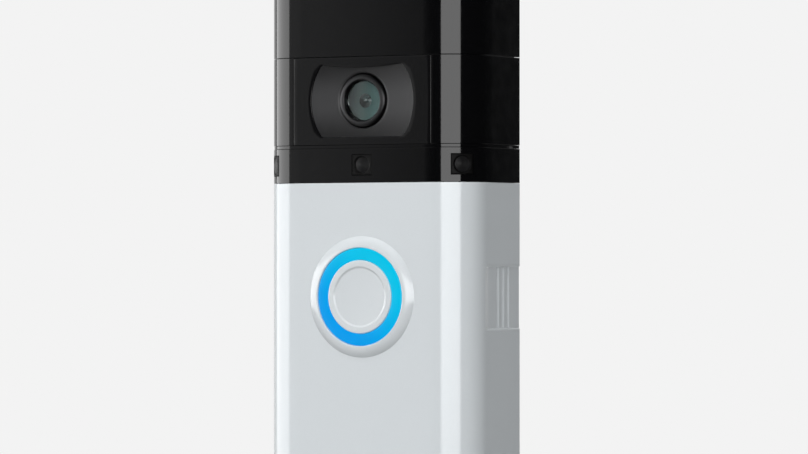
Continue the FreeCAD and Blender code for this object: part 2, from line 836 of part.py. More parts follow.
def make_screws():
    case_screws = []
    for sign in (-1, 1):
        for z in CASE_SCREWS:
            head = rod("case_screw_head", f"{sign} * case_boss_x", ("0.15", "1.1"), z, "2")
            shank = rod(
                "case_screw_shank", f"{sign} * case_boss_x", ("0.6", "9.5"), z, "case_screw_radius"
            )
            drive = star_drive("case_screw_drive", f"{sign} * case_boss_x", ("-1", "0.75"), z, 0.75)
            case_screws.append(cut("case_screw", hidden_union("case_screw_solid", [head, shank]), drive))
    node(group("case_screws", case_screws), "case_screws")

    board_screws = []
    for sign in (-1, 1):
        for z in BOARD_SCREWS:
            x = f"{sign} * (main_board_half - 2.6)"
            head = rod("board_screw_head", x, ("main_board_out", "main_board_out + 1"), z, "1.7")
            shank = rod("board_screw_shank", x, ("3", "main_board_out + 0.5"), z, "0.85")
            drive = star_drive(
                "board_screw_drive", x, ("main_board_out + 0.5", "main_board_out + 2"), z, 0.6
            )
            board_screws.append(
                cut("board_screw", hidden_union("board_screw_solid", [head, shank]), drive)
            )
    node(group("board_screws", board_screws), "board_screws")

    head = rod("security_head", "0", "screw_out", ("bottom + 0.2", "bottom + 1.4"), "2 * screw_radius")
    shank = rod(
        "security_shank", "0", "screw_out", ("bottom + 1", "bottom + 1.4 + screw_length"), "screw_radius"
    )
    lobes = [
        place(prism("security_lobe", 6, 1.3), "0", "screw_out", "bottom - 1"),
        place(
            prism("security_lobe", 6, 1.3),
            "0",
            "screw_out",
            "bottom - 1",
            FreeCAD.Rotation(FreeCAD.Vector(0, 0, 1), 30),
        ),
    ]
    pin = rod("security_pin", "0", "screw_out", ("bottom - 2", "bottom + 2"), "0.4")
    solid = hidden_union("security_solid", [head, shank])
    node(
        cut("security_screw", solid, cut("security_drive", hidden_union("security_lobes", lobes), pin)),
        "security_screw",
    )


def prism(name, sides, radius, length=2.0):
    """A short upright prism, for a drive recess."""
    item = DOC.addObject("Part::Prism", name)
    item.Polygon = sides
    item.Circumradius = radius
    item.Height = length
    return item


def star_drive(name, x, out, z, radius):
    """A six-pointed recess for a screw that points along out."""
    lobes = []
    for turn in (0, 30):
        lobe = prism(name + "_lobe", 6, radius)
        bind(lobe, "Height", f"({out[1]}) - ({out[0]})")
        lobes.append(
            place(lobe, x, out[0], z, OUTWARD * FreeCAD.Rotation(FreeCAD.Vector(0, 0, 1), turn))
        )
    return hidden_union(name, lobes)


# ---------------------------------------------------------------- button


def make_button():
    base = "house_out"
    low = "0"
    flange_low = f"catch_out - 0.75 - {base}"
    flange_high = f"catch_out - 0.15 - {base}"
    face = f"button_out - {base}"
    cap = turned(
        "button_cap",
        [
            ("0", low),
            ("stem_radius", low),
            ("stem_radius", flange_low),
            ("catch_radius - 0.15", flange_low),
            ("catch_radius - 0.15", flange_high),
            ("button_radius", flange_high),
            ("button_radius", f"{face} - 0.25"),
            ("button_radius - 0.25", face),
            ("dish_radius + 0.15", face),
            ("dish_radius", f"{face} - dish_depth"),
            ("0", f"{face} - dish_depth"),
        ],
    )
    node(place(cap, "0", base, "button_z", OUTWARD), "button_cap")

    stem = rod("switch_stem", "0", ("board_out + 1.2", "house_out"), "button_z", "stem_radius")
    node(stem, "switch_stem")

    body = block(
        "switch_body", (-3, 3), ("board_out", "board_out + 1.5"), ("button_z - 3", "button_z + 3")
    )
    well = rod("switch_well", "0", ("board_out + 0.4", "board_out + 3"), "button_z", "1.6")
    button_switch = cut("button_switch", body, well)
    setup_switch = block(
        "setup_switch", ("14", "18"), ("board_out", "board_out + 0.6"), (
            f"{SETUP_Z} - 1.8", f"{SETUP_Z} + 1.8"
        )
    )
    node(group("board_switches", [button_switch, setup_switch]), "board_switches")

    ring_back = f"board_out + 0.65 - {base}"
    ring = turned(
        "light_ring",
        [
            ("catch_radius", ring_back),
            ("flange_radius - 0.9", ring_back),
            ("flange_radius - 0.9", f"board_out - {base}"),
            ("flange_radius", f"board_out - {base}"),
            ("flange_radius", f"flange_out - {base}"),
            ("ring_out", f"flange_out - {base}"),
            ("ring_out", f"{face} - 0.2"),
            ("ring_out - 0.15", f"{face} - 0.05"),
            ("ring_in + 0.15", f"{face} - 0.05"),
            ("ring_in", f"{face} - 0.2"),
            ("ring_in", f"catch_out - {base}"),
            ("catch_radius", f"catch_out - {base}"),
        ],
    )
    node(place(ring, "0", base, "button_z", OUTWARD), "light_ring")

    wiper = cut(
        "button_wiper",
        rod(
            "wiper_disc",
            "0",
            ("house_out - 0.45", "house_out - 0.05"),
            "button_z",
            "catch_radius - 0.02",
        ),
        rod("wiper_hole", "0", ("house_out - 1", "house_out + 1"), "button_z", "2.1"),
    )
    node(wiper, "button_wiper")

    plate = block(
        "button_board_plate",
        (-18.5, 18.5),
        ("bay_front", "board_out"),
        ("button_z - 15", "button_board_top"),
    )
    corner = block(
        "button_board_corner",
        (-19, -10),
        ("bay_front - 1", "board_out + 1"),
        ("button_z - 16", "button_z - 14"),
    )
    node(cut("button_board", plate, corner), "button_board")

    leds = []
    for i in range(12):
        led = DOC.addObject("Part::Box", "ring_led")
        led.Length, led.Width, led.Height = 1.6, 0.6, 1.6
        turn = FreeCAD.Rotation(FreeCAD.Vector(0, 1, 0), 30 * i)
        led.Placement = FreeCAD.Placement(FreeCAD.Vector(), turn)
        reach = "((ring_in + ring_out) / 2 - 0.8)"
        angle = f"{30 * i} deg"
        bind(led, "Placement.Base.x", f"{reach} * sin({angle}) - 0.8 * cos({angle})")
        bind(led, "Placement.Base.y", "-(board_out + 0.6)")
        bind(led, "Placement.Base.z", f"button_z + {reach} * cos({angle}) + 0.8 * sin({angle})")
        leds.append(led)
    node(group("ring_leds", leds), "ring_leds")

    setup = [
        rod("setup_face", "16", ("board_out + 0.85", "house_out + 0.05"), SETUP_Z, "1.95"),
        rod("setup_flange", "16", ("house_inner_out + 0.45", "house_inner_out + 0.85"), SETUP_Z, "2.4"),
    ]
    node(hidden_union("setup_button", setup), "setup_button")


# ---------------------------------------------------------------- camera


def make_camera():
    body = barrel_shape(
        "surround_body", "surround_radius", "surround_half", ("surround_back", "panel_back")
    )
    ball = DOC.addObject("Part::Sphere", "surround_ball")
    ball_radius = "((eye_radius ^ 2 + surround_depth ^ 2) / (2 * surround_depth))"
    bind(ball, "Radius", ball_radius)
    place(ball, "0", f"panel_back - surround_depth + {ball_radius}", "lens_z")
    hole = rod("surround_hole", "0", ("surround_back - 1", "depth + 1"), "lens_z", "surround_hole")
    node(cut("lens_surround", body, ball, hole), "lens_surround")

    ring = turned(
        "lens_ring",
        [
            ("barrel_radius + 0.1", "-3"),
            ("lens_ring_radius", "-3"),
            ("lens_ring_radius", "1.1"),
            ("lens_ring_radius - 0.25", "1.7"),
            ("lens_ring_radius - 0.8", "2.05"),
            ("lens_radius + 0.5", "1.5"),
            ("lens_radius + 0.1", "0.9"),
            ("lens_radius + 0.1", "0.1"),
            ("barrel_radius + 0.1", "0.1"),
        ],
    )
    node(place(ring, "0", "barrel_out", "lens_z", OUTWARD), "lens_ring")

    dome = DOC.addObject("Part::Sphere", "front_lens_dome")
    bind(dome, "Radius", "2 * lens_radius")
    place(dome, "0", "barrel_out + 1.25 - 2 * lens_radius", "lens_z")
    slug = rod("front_lens_slug", "0", ("barrel_out - 1.5", "barrel_out + 2"), "lens_z", "lens_radius")
    front_lens = common("front_lens", slug, dome)
    rear_lens = rod("rear_lens", "0", ("holder_out + 1", "holder_out + 2.6"), "lens_z", "3.38")
    node(group("lens_glasses", [front_lens, rear_lens]), "lens_glasses")

    barrel = cut(
        "lens_barrel",
        rod("barrel_body", "0", ("holder_out - 1.7", "barrel_out"), "lens_z", "barrel_radius"),
        rod("barrel_seat", "0", ("barrel_out - 1.5", "barrel_out + 1"), "lens_z", "lens_radius + 0.03"),
        rod("barrel_bore", "0", ("holder_out - 3", "barrel_out"), "lens_z", "3.4"),
    )
    node(barrel, "lens_barrel")

    bracket = [
        block(
            "bracket_plate",
            ("-bracket_half", "bracket_half"),
            ("holder_out", "bracket_out"),
            ("lens_z - 14.5", "lens_z + 14.5"),
        )
    ]
    bracket += [
        rod(
            "bracket_leg",
            f"{x} * (bracket_half - 2.2)",
            ("holder_out", "house_inner_out"),
            f"lens_z + {z} * 12.4",
            "1.8",
        )
        for x in (-1, 1)
        for z in (-1, 1)
    ]
    hole = rod(
        "bracket_hole", "0", ("holder_out - 1", "bracket_out + 1"), "lens_z", "barrel_radius + 0.1"
    )
    node(cut("camera_bracket", hidden_union("bracket_solid", bracket), hole), "camera_bracket")

    body = block("holder_body", (-9, 9), ("holder_back", "holder_out"), ("lens_z - 9", "lens_z + 9"))
    filter_way = block(
        "filter_way", (-10, 10), ("slot_back", "slot_back + 1.4"), ("lens_z - 4.6", "lens_z + 4.6")
    )
    chip_room = block(
        "chip_room", (-5.2, 5.2), ("holder_back - 1", "slot_back + 1"), ("lens_z - 4.4", "lens_z + 4.4")
    )
    screw_bore = rod(
        "holder_bore", "0", ("slot_back", "holder_out + 1"), "lens_z", "barrel_radius + 0.05"
    )
    node(cut("camera_holder", body, filter_way, chip_room, screw_bore), "camera_holder")

    frame = block(
        "filter_frame_plate",
        ("-filter_travel - filter_half", "filter_half"),
        ("slot_back + 0.2", "slot_back + 1.2"),
        ("lens_z - 4.4", "lens_z + 4.4"),
    )
    windows = [
        block(
            "filter_window",
            (f"{x} - 2.7", f"{x} + 2.7"),
            ("slot_back", "slot_back + 2"),
            ("lens_z - 3.2", "lens_z + 3.2"),
        )
        for x in ("0", "-filter_travel")
    ]
    node(cut("filter_slider", frame, *windows), "filter_slider")
    panes = [
        block(
            "filter_pane",
            (f"{x} - 2.68", f"{x} + 2.68"),
            ("slot_back + 0.45", "slot_back + 0.95"),
            ("lens_z - 3.18", "lens_z + 3.18"),
        )
        for x in ("0", "-filter_travel")
    ]
    node(group("filter_panes", panes), "filter_panes")

    coil = hidden_union(
        "filter_coil_solid",
        [
            block(
                "coil_foot",
                (-5, 5),
                ("slot_back - 0.6", "slot_back + 2.6"),
                ("lens_z + 9", "lens_z + 10"),
            ),
            rod("coil_winding", (-4.4, 4.4), "slot_back + 1", "lens_z + 11.6", "2"),
        ],
    )
    node(coil, "filter_coil")

    node(
        block(
            "sensor_board",
            (-11, 11),
            ("holder_back - board", "holder_back"),
            ("lens_z - 10", "lens_z + 10"),
        ),
        "sensor_board",
    )
    node(
        block(
            "image_sensor",
            (-3.6, 3.6),
            ("holder_back", "holder_back + 0.9"),
            ("lens_z - 2.9", "lens_z + 2.9"),
        ),
        "image_sensor",
    )

    led_plate = block(
        "ir_plate", (-14, 14), ("led_board_out - 0.8", "led_board_out"), ("lens_z - 8.6", "lens_z + 8.6")
    )
    led_hole = rod(
        "ir_hole", "0", ("led_board_out - 2", "led_board_out + 1"), "lens_z", "lens_ring_radius + 0.2"
    )
    node(cut("infrared_board", led_plate, led_hole), "infrared_board")
    lamps = [
        block(
            "infrared_lamp",
            (f"{x} * 10.6 - 1.4", f"{x} * 10.6 + 1.4"),
            ("led_board_out", "surround_back"),
            (f"lens_z + {z} * 5.4 - 1.4", f"lens_z + {z} * 5.4 + 1.4"),
        )
        for x in (-1, 1)
        for z in (-1, 0, 1)
    ]
    node(group("infrared_lamps", lamps), "infrared_lamps")


# ---------------------------------------------------------------- battery and electronics


def make_battery():
    shell = block(
        "pack_shell", ("-pack_half", "pack_half"), (
            "pack_back", "pack_out - pack_wall"
        ), ("house_low", "pack_top")
    )
    room = block(
        "pack_room",
        ("-cell_gap / 2 - cell_diameter - cell_fit", "cell_gap / 2 + cell_diameter + cell_fit"),
        ("pack_back + pack_wall", "pack_out + 1"),
        ("house_low + pack_end", "pack_top - pack_end"),
    )
    latch_way = block(
        "latch_way",
        (-6.2, 6.2),
        ("pack_back - 1", "pack_back + 11.4"),
        ("house_low - 1", "house_low + 1.6"),
    )
    pads = [
        block(
            "pad_seat",
            (f"{x} - 1.25", f"{x} + 1.25"),
            ("9.2", "11.8"),
            ("pack_top - 0.3", "pack_top + 1"),
        )
        for x in PIN_X
    ]
    node(cut("battery_case", shell, room, latch_way, *pads), "battery_case")
    node(
        block(
            "battery_lid",
            ("-pack_half", "pack_half"),
            ("pack_out - pack_wall", "pack_out"),
            ("house_low", "pack_top"),
        ),
        "battery_lid",
    )
    cells = [
        rod(
            "cell",
            f"{x} * (cell_gap + cell_diameter) / 2",
            "pack_back + pack_wall + cell_diameter / 2",
            ("house_low + pack_end", "house_low + pack_end + cell_length"),
            "cell_diameter / 2",
        )
        for x in (-1, 1)
    ]
    node(group("battery_cells", cells), "battery_cells")
    plates = [
        block(
            "battery_pad",
            (f"{x} - 1.2", f"{x} + 1.2"),
            ("9.25", "11.75"),
            ("pack_top - 0.3", "pack_top"),
        ) for x in PIN_X
    ]
    node(group("battery_pads", plates), "battery_pads")

    tab = block(
        "latch_tab", (-6, 6), ("pack_back", "pack_back + 9.8"), ("house_low + 0.3", "house_low + 1.5")
    )
    nose = block(
        "latch_nose", (-3, 3), ("back_wall - 0.75", "pack_back"), ("house_low + 0.95", "house_low + 1.5")
    )
    ribs = [
        block(
            "latch_rib",
            (-5, 5),
            (f"pack_back + {o}", f"pack_back + {o} + 0.6"),
            ("house_low + 0.05", "house_low + 0.3"),
        )
        for o in (3, 4.6, 6.2, 7.8)
    ]
    node(hidden_union("battery_latch", [tab, nose, *ribs]), "battery_latch")

    pins = [rod("contact_pin", x, PIN_OUT, ("pack_top", "bay_top"), "0.6") for x in PIN_X]
    node(group("contact_pins", pins), "contact_pins")


def make_boards():
    plate = block(
        "main_board_plate",
        ("-main_board_half", "main_board_half"),
        ("main_board_back", "main_board_out"),
        ("main_board_low", "main_board_top"),
    )
    holes = [
        rod(
            "board_hole",
            f"{x} * (main_board_half - 2.6)",
            ("main_board_back - 1", "main_board_out + 1"),
            z,
            "1",
        )
        for x in (-1, 1)
        for z in BOARD_SCREWS
    ]
    node(cut("main_board", plate, *holes), "main_board")
    cans = [
        block(
            "shield",
            (-19, -6),
            ("main_board_out", "main_board_out + shield_height"),
            ("split + 8", "split + 26"),
        ),
        block(
            "shield",
            (6, 19),
            ("main_board_out", "main_board_out + shield_height"),
            ("split + 18", "split + 38"),
        ),
    ]
    node(group("shield_cans", cans), "shield_cans")
    spots = [(7, 4, 6, 6), (14, 4, 3, 3), (-17, 33, 5, 5), (-10, 36, 4, 3), (10, 11, 5, 4)]
    chips = [
        block(
            "chip",
            (x, x + w),
            ("main_board_out", "main_board_out + 1"),
            (f"split + {z}", f"split + {z + t}"),
        )
        for x, z, w, t in spots
    ]
    node(group("board_chips", chips), "board_chips")
    plugs = [
        block(
            "plug",
            (-4.6, 4.6),
            ("main_board_out", "main_board_out + 1.6"),
            ("ribbon_z - 1", "ribbon_z + 1"),
        ),
        block("plug", (-5, 5), ("main_board_out", "main_board_out + 1.6"), ("split + 6", "split + 9")),
        block(
            "contact_block",
            (-6, 6),
            ("main_board_out", "main_board_out + 5"),
            ("bay_top", "bay_top + 4.3"),
        ),
    ]
    node(group("board_connectors", plugs), "board_connectors")

    node(
        hidden_union(
            "camera_ribbon_solid",
            [
                block(
                    "ribbon",
                    (-4, 4),
                    ("holder_back - 0.7", "holder_back - 0.4"),
                    ("split + 7.4", "lens_z - 10"),
                ),
                block(
                    "ribbon",
                    (-4, 4),
                    ("main_board_out + 1.6", "holder_back - 0.4"),
                    ("split + 7.1", "split + 7.4"),
                ),
            ],
        ),
        "camera_ribbon",
    )
    node(
        hidden_union(
            "button_ribbon_solid",
            [
                block(
                    "ribbon",
                    (-4, 4),
                    ("bay_front + 0.1", "bay_front + 0.4"),
                    ("button_board_top", "ribbon_z"),
                ),
                block(
                    "ribbon",
                    (-4, 4),
                    ("main_board_out + 1.6", "bay_front + 0.4"),
                    ("ribbon_z - 0.3", "ribbon_z"),
                ),
            ],
        ),
        "button_ribbon",
    )
    node(
        block(
            "antenna",
            (-17, -3),
            ("main_board_out", "main_board_out + 8"),
            ("main_board_top - 0.9", "main_board_top - 0.5"),
        ),
        "antenna",
    )


def make_terminals():
    plates = []
    screws = []
    for sign in (-1, 1):
        x = f"{sign} * terminal_x"
        plate = block(
            "terminal_plate",
            (f"{x} - 3.6", f"{x} + 3.6"),
            ("terminal_floor - 0.8", "terminal_floor"),
            ("terminal_z - 5", "terminal_z + 5"),
        )
        plates.append(
            cut(
                "terminal", plate, rod("plate_hole", x, ("0", "terminal_floor + 1"), "terminal_z", "1.6")
            ),
        )
        head = rod(
            "terminal_head", x, ("terminal_floor - 2.3", "terminal_floor - 0.8"), "terminal_z", "3"
        )
        shank = rod(
            "terminal_shank", x, ("terminal_floor - 1.5", "terminal_floor + 1.9"), "terminal_z", "1.5"
        )
        bars = [
            block(
                "cross",
                (f"{x} - {a}", f"{x} + {a}"),
                ("0", "terminal_floor - 1.6"),
                (f"terminal_z - {b}", f"terminal_z + {b}"),
            )
            for a, b in ((1.7, 0.3), (0.3, 1.7))
        ]
        screws.append(cut("terminal_screw", hidden_union("terminal_solid", [head, shank]), *bars))
    node(group("terminal_plates", plates), "terminal_plates")
    node(group("terminal_screws", screws), "terminal_screws")


def make_sound():
    out = ("slot_out - 5.4", "slot_out + 5.4")
    tall = ("grille_z - 10.5", "grille_z + 10.5")
    face = "house_inner - 0.5"
    frame = block("speaker_block", (f"{face} - 2.4", face), out, tall)
    hollow = block(
        "speaker_hollow", (f"{face} - 1.6", f"{face} + 1"), (
            "slot_out - 4.4", "slot_out + 4.4"
        ), ("grille_z - 9.5", "grille_z + 9.5")
    )
    node(cut("speaker_frame", frame, hollow), "speaker_frame")
    cone = hidden_union(
        "speaker_cone_solid",
        [
            block(
                "cone_sheet",
                (f"{face} - 1.3", f"{face} - 1"),
                ("slot_out - 4.35", "slot_out + 4.35"),
                ("grille_z - 9.45", "grille_z + 9.45"),
            ),
            block(
                "cone_pan",
                (f"{face} - 1", f"{face} - 0.6"),
                ("slot_out - 2.8", "slot_out + 2.8"),
                ("grille_z - 7", "grille_z + 7"),
            ),
        ],
    )
    node(cone, "speaker_cone")
    node(
        block(
            "speaker_magnet",
            (f"{face} - 4.2", f"{face} - 2.4"),
            ("slot_out - 3.5", "slot_out + 3.5"),
            ("grille_z - 6", "grille_z + 6"),
        ),
        "speaker_magnet",
    )
    pad = block("gasket_block", (face, "house_inner"), out, tall)
    gap = block(
        "gasket_hole",
        (f"{face} - 1", "house_inner + 1"),
        ("slot_out - 4.4", "slot_out + 4.4"),
        ("grille_z - 9.5", "grille_z + 9.5"),
    )
    node(cut("speaker_gasket", pad, gap), "speaker_gasket")
    node(
        block(
            "speaker_mesh",
            ("house_half - 0.8", "house_half - 0.5"),
            (
                "slot_out - slot_pitch - slot_width / 2 - 0.45",
                "slot_out + slot_pitch + slot_width / 2 + 0.45",
            ),
            ("grille_z - grille_half_height + 1.05", "grille_z + grille_half_height - 1.05"),
        ),
        "speaker_mesh",
    )
    node(
        block(
            "microphone",
            ("-house_inner", "-house_inner + 1.2"),
            ("slot_out - 1.9", "slot_out + 1.9"),
            ("grille_z - 2.4", "grille_z + 2.4"),
        ),
        "microphone",
    )
    node(
        block(
            "microphone_board",
            ("-house_inner + 1.2", "-house_inner + 2"),
            ("slot_out - 4", "slot_out + 4"),
            ("grille_z - 6", "grille_z + 6"),
        ),
        "microphone_board",
    )


# ---------------------------------------------------------------- build and write

def check_and_write():
    """Stops on any failed object or bad shape, then writes one STEP file for each node."""
    DOC.recompute()
    failed = [item.Name for item in DOC.Objects if {"Invalid", "Error"} & set(item.State)]
    bad = [
        item.Label
        for item in NODES
        if item.Shape.isNull() or not item.Shape.isValid() or not item.Shape.Solids
    ]
    if failed or bad:
        raise SystemExit(f"failed objects {failed}, bad shapes {bad}")
    os.makedirs("parts", exist_ok=True)
    for item in NODES:
        item.Shape.exportStep(f"parts/{item.Label}.step")
        print(f"{item.Label:18s} {len(item.Shape.Solids):3d} solids {item.Shape.Volume:10.1f} mm3")
    print(len(NODES), "nodes")


def main():
    fill_sheet()
    make_faceplate()
    make_covers()
    make_motion_sensors()
    make_camera_panel()
    make_front_housing()
    make_rear_housing()
    make_seal()
    make_battery_bay()
    make_screws()
    make_button()
    make_camera()
    make_battery()
    make_boards()
    make_terminals()
    make_sound()
    check_and_write()


main()
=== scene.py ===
"""Finished looks of a battery video doorbell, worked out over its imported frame."""

import math

import bpy
import numpy as np
from bpy.props import FloatProperty, FloatVectorProperty, PointerProperty
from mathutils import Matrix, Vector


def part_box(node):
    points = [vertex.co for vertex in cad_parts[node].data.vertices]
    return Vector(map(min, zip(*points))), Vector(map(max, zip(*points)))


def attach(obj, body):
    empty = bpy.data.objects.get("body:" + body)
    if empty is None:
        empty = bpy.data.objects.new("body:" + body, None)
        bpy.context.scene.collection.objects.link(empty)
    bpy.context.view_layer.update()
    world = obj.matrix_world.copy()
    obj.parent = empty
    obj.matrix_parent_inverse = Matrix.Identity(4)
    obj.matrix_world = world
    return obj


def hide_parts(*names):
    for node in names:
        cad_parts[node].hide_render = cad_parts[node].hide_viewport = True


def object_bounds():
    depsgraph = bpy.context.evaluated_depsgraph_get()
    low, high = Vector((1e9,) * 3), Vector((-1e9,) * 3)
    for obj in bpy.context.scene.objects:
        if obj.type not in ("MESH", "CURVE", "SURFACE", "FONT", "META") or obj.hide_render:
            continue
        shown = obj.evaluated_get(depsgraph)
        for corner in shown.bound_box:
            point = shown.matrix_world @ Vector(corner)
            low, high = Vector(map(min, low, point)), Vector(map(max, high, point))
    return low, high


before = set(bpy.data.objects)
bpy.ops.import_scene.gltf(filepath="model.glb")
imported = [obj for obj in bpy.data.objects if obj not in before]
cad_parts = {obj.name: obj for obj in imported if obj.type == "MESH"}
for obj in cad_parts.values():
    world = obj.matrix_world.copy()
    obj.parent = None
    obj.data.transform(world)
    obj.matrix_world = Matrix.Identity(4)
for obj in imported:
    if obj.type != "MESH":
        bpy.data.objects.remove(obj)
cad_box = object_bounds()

bl_info = {
    "name": "Video Doorbell Finish",
    "version": (1, 0, 0),
    "blender": (4, 5, 0),
    "location": "3D View > Sidebar > Doorbell",
    "description": "Builds the outer skins, camera, lit button and studio of a video doorbell",
    "category": "Object",
}

# ---------------------------------------------------------------- places read from the frame, in mm
# Points are (across, out, up): across to the right of someone facing the doorbell, out from the wall.


def span(name):
    """Lowest and highest corner of a CAD node as (across, out, up) in mm."""
    low, high = (np.array(corner, float) * 1000 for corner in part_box(name))
    return np.array([low[0], -high[1], low[2]]), np.array([high[0], -low[1], high[2]])


def middle(name):
    low, high = span(name)
    return (low + high) / 2


TOP_LOW, TOP_HIGH = span("top_cover")
COVER_LOW, COVER_HIGH = span("camera_cover")
TRIM_LOW, TRIM_HIGH = span("trim_band")
STRIP_LOW, STRIP_HIGH = span("sensor_cover")
PLATE_LOW = span("faceplate")[0]
PANEL_LOW, PANEL_HIGH = span("camera_panel")
SURROUND_LOW, SURROUND_HIGH = span("lens_surround")
RING_LOW, RING_HIGH = span("light_ring")
CAP_LOW, CAP_HIGH = span("button_cap")
LENS_RING_LOW, LENS_RING_HIGH = span("lens_ring")
GLASS_LOW, GLASS_HIGH = span("lens_glasses")
LENSES_LOW, LENSES_HIGH = span("motion_lenses")

HALF = TOP_HIGH[0]
BACK = TOP_LOW[1]
FACE = TOP_HIGH[1]
SEAM = TRIM_LOW[2] - STRIP_HIGH[2]
# A skin reaches into the seam above it and leaves a gap of 0.05 mm.
REACH = SEAM - 0.05
SPLIT = STRIP_LOW[2] - SEAM / 2
LENS = middle("lens_ring")[[0, 2]]
BUTTON = middle("light_ring")[[0, 2]]
GRILLE = middle("speaker_mesh")
CAMERA_YAW = math.radians(30.5)
# Millimetres in a metre.
MM = 1000
# Slack in mm when a point is told to be on a flat face.
TOUCH = 0.01
# Width of the hidden flanges of the light ring and of the button cap, in mm.
RING_FLANGE = 1.1
CAP_FLANGE = 0.8


def half_width(low, high):
    return (high[0] - low[0]) / 2


def on_side(across):
    return np.abs(across) > HALF - TOUCH


def on_front(out):
    return out > FACE - TOUCH


def linear(code):
    """An sRGB hex colour as linear red, green and blue."""
    parts = [int(code[i : i + 2], 16) / 255 for i in (1, 3, 5)]
    return tuple(c / 12.92 if c <= 0.04045 else ((c + 0.055) / 1.055) ** 2.4 for c in parts)


# ---------------------------------------------------------------- settings


def length(name, value, note):
    return FloatProperty(
        name=name, description=note, default=value, min=0.0, subtype="DISTANCE", unit="LENGTH"
    )


def colour(name, code, note):
    return FloatVectorProperty(
        name=name, description=note, default=linear(code), size=3, min=0.0, max=1.0, subtype="COLOR"
    )


class DoorbellSizes(bpy.types.PropertyGroup):
    corner_radius: length("Corner radius", 0.010, "Radius of the two long front corners")
    skin: length("Skin", 0.0016, "Wall of the outer skins")
    floor_wall: length("End wall", 0.0022, "Roof of the top cover and floor of the faceplate")
    rim_round: length("Rim rounding", 0.001, "Rounding at the very top and bottom")
    seam_round: length("Seam rounding", 0.00006, "Rounding along the seams between skins")
    collar_width: length("Collar width", 0.00295, "Sloping collar around the light ring")
    collar_rise: length("Collar rise", 0.00115, "How far the collar stands out of the face")
    recess_depth: length("Recess depth", 0.00022, "Depth of the sound recess in each side")
    recess_reach: length("Recess reach", 0.018, "Front edge of the sound recess from the wall")
    recess_height: length("Recess height", 0.016, "Height of the sound recess")
    slot_width: length("Slot width", 0.00127, "Width of one sound slot")
    slot_pitch: length("Slot pitch", 0.0027, "Distance between neighbouring sound slots")
    eye_radius: length("Eye radius", 0.0152, "Round ends of the camera panel's opening")
    eye_half_height: length("Eye half height", 0.00935, "Flat edges of the camera panel's opening")
    eye_dip: length("Eye dip", 0.0008, "Sag of the opening's upper edge")
    dish_radius: length("Button dish", 0.00765, "Radius of the recess in the button cap")
    dish_depth: length("Dish depth", 0.0003, "Depth of the recess in the button cap")
    window_half_width: length("Window half width", 0.0029, "Motion window")
    window_half_height: length("Window half height", 0.00265, "Motion window")


class DoorbellColours(bpy.types.PropertyGroup):
    silver: colour("Silver paint", "#D1D6D9", "Satin paint of the faceplate")
    cap_silver: colour("Cap paint", "#D1D6D9", "Satin paint of the button cap")
    black: colour("Gloss black", "#060607", "Polished black covers")
    panel: colour("Panel black", "#0B0B0C", "Finely textured camera panel")
    dish: colour("Dish grey", "#363637", "Smoky dish around the lens")
    lamp_high: colour("Light, upper right", "#00C4EA", "Light ring where it is brightest")
    lamp_low: colour("Light, lower left", "#009DEE", "Light ring where it is deepest")
    housing: colour("Housing black", "#18191A", "Inner housing")
    backdrop: colour("Backdrop", "#F3F3F3", "Pale floor and background")


# ---------------------------------------------------------------- mesh helpers


def lattice(rows, columns, around=False):
    """Four-sided faces between neighbouring points of a grid, joined end to start where it goes around."""
    index = np.arange(rows * columns).reshape(rows, columns)
    if around:
        index = np.hstack([index, index[:, :1]])
    corners = [index[:-1, :-1], index[:-1, 1:], index[1:, 1:], index[1:, :-1]]
    return np.stack(corners, axis=-1).reshape(-1, 4)


def wall(outer, inner, faces):
    """A closed wall. The outer faces are repeated, turned round, on the inner points, and each edge that
    only one face uses gets a strip between the two. Points that share both places become one first."""
    both = np.round(np.hstack([outer, inner]), 4)
    both, renamed = np.unique(both, axis=0, return_inverse=True)
    faces = renamed.reshape(-1)[faces]
    edges = np.concatenate([faces[:, [k, (k + 1) % 4]] for k in range(4)])
    edges = edges[edges[:, 0] != edges[:, 1]]
    _, first, count = np.unique(np.sort(edges, axis=1), axis=0, return_index=True, return_counts=True)
    rim = edges[first[count == 1]]
    strip = np.stack([rim[:, 1], rim[:, 0], rim[:, 0] + len(both), rim[:, 1] + len(both)], axis=1)
    points = np.vstack([both[:, :3], both[:, 3:]])
    return points, np.vstack([faces, faces[:, ::-1] + len(both), strip])


def welded(points, faces):
    """Joins points that share a place."""
    points, renamed = np.unique(np.round(points, 4), axis=0, return_inverse=True)
    return points, renamed.reshape(-1)[faces]


def volume(points, faces):
    """Signed volume inside closed four-sided faces: a sixth of the sum of the corners' triple products."""
    a, b, c, d = (points[faces[:, k]] for k in range(4))
    return (
        np.einsum("ij,ij->i", a, np.cross(b, c)) + np.einsum("ij,ij->i", a, np.cross(c, d))
    ).sum() / 6


def put(name, points, faces, material, body="housing", stands_for=(), sharp=35):
    """Makes one piece from points in mm. Faces whose corners meet become triangles, and all face outwards."""
    points, faces = welded(points, faces)
    points = points * np.array([0.001, -0.001, 0.001])
    if volume(points, faces) < 0:
        faces = faces[:, ::-1]
    same = faces == np.roll(faces, -1, axis=1)
    four = faces[same.sum(axis=1) == 0]
    three = faces[same.sum(axis=1) == 1]
    three = three[~same[same.sum(axis=1) == 1]].reshape(-1, 3)
    mesh = bpy.data.meshes.new(name)
    mesh.from_pydata(points.tolist(), [], four.tolist() + three.tolist())
    mesh.polygons.foreach_set("use_smooth", np.ones(len(mesh.polygons), bool))
    mesh.set_sharp_from_angle(angle=math.radians(sharp))
    mesh.materials.append(material)
    piece = bpy.data.objects.new(name, mesh)
    bpy.context.scene.collection.objects.link(piece)
    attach(piece, body)
    if stands_for:
        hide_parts(*stands_for)
    return piece


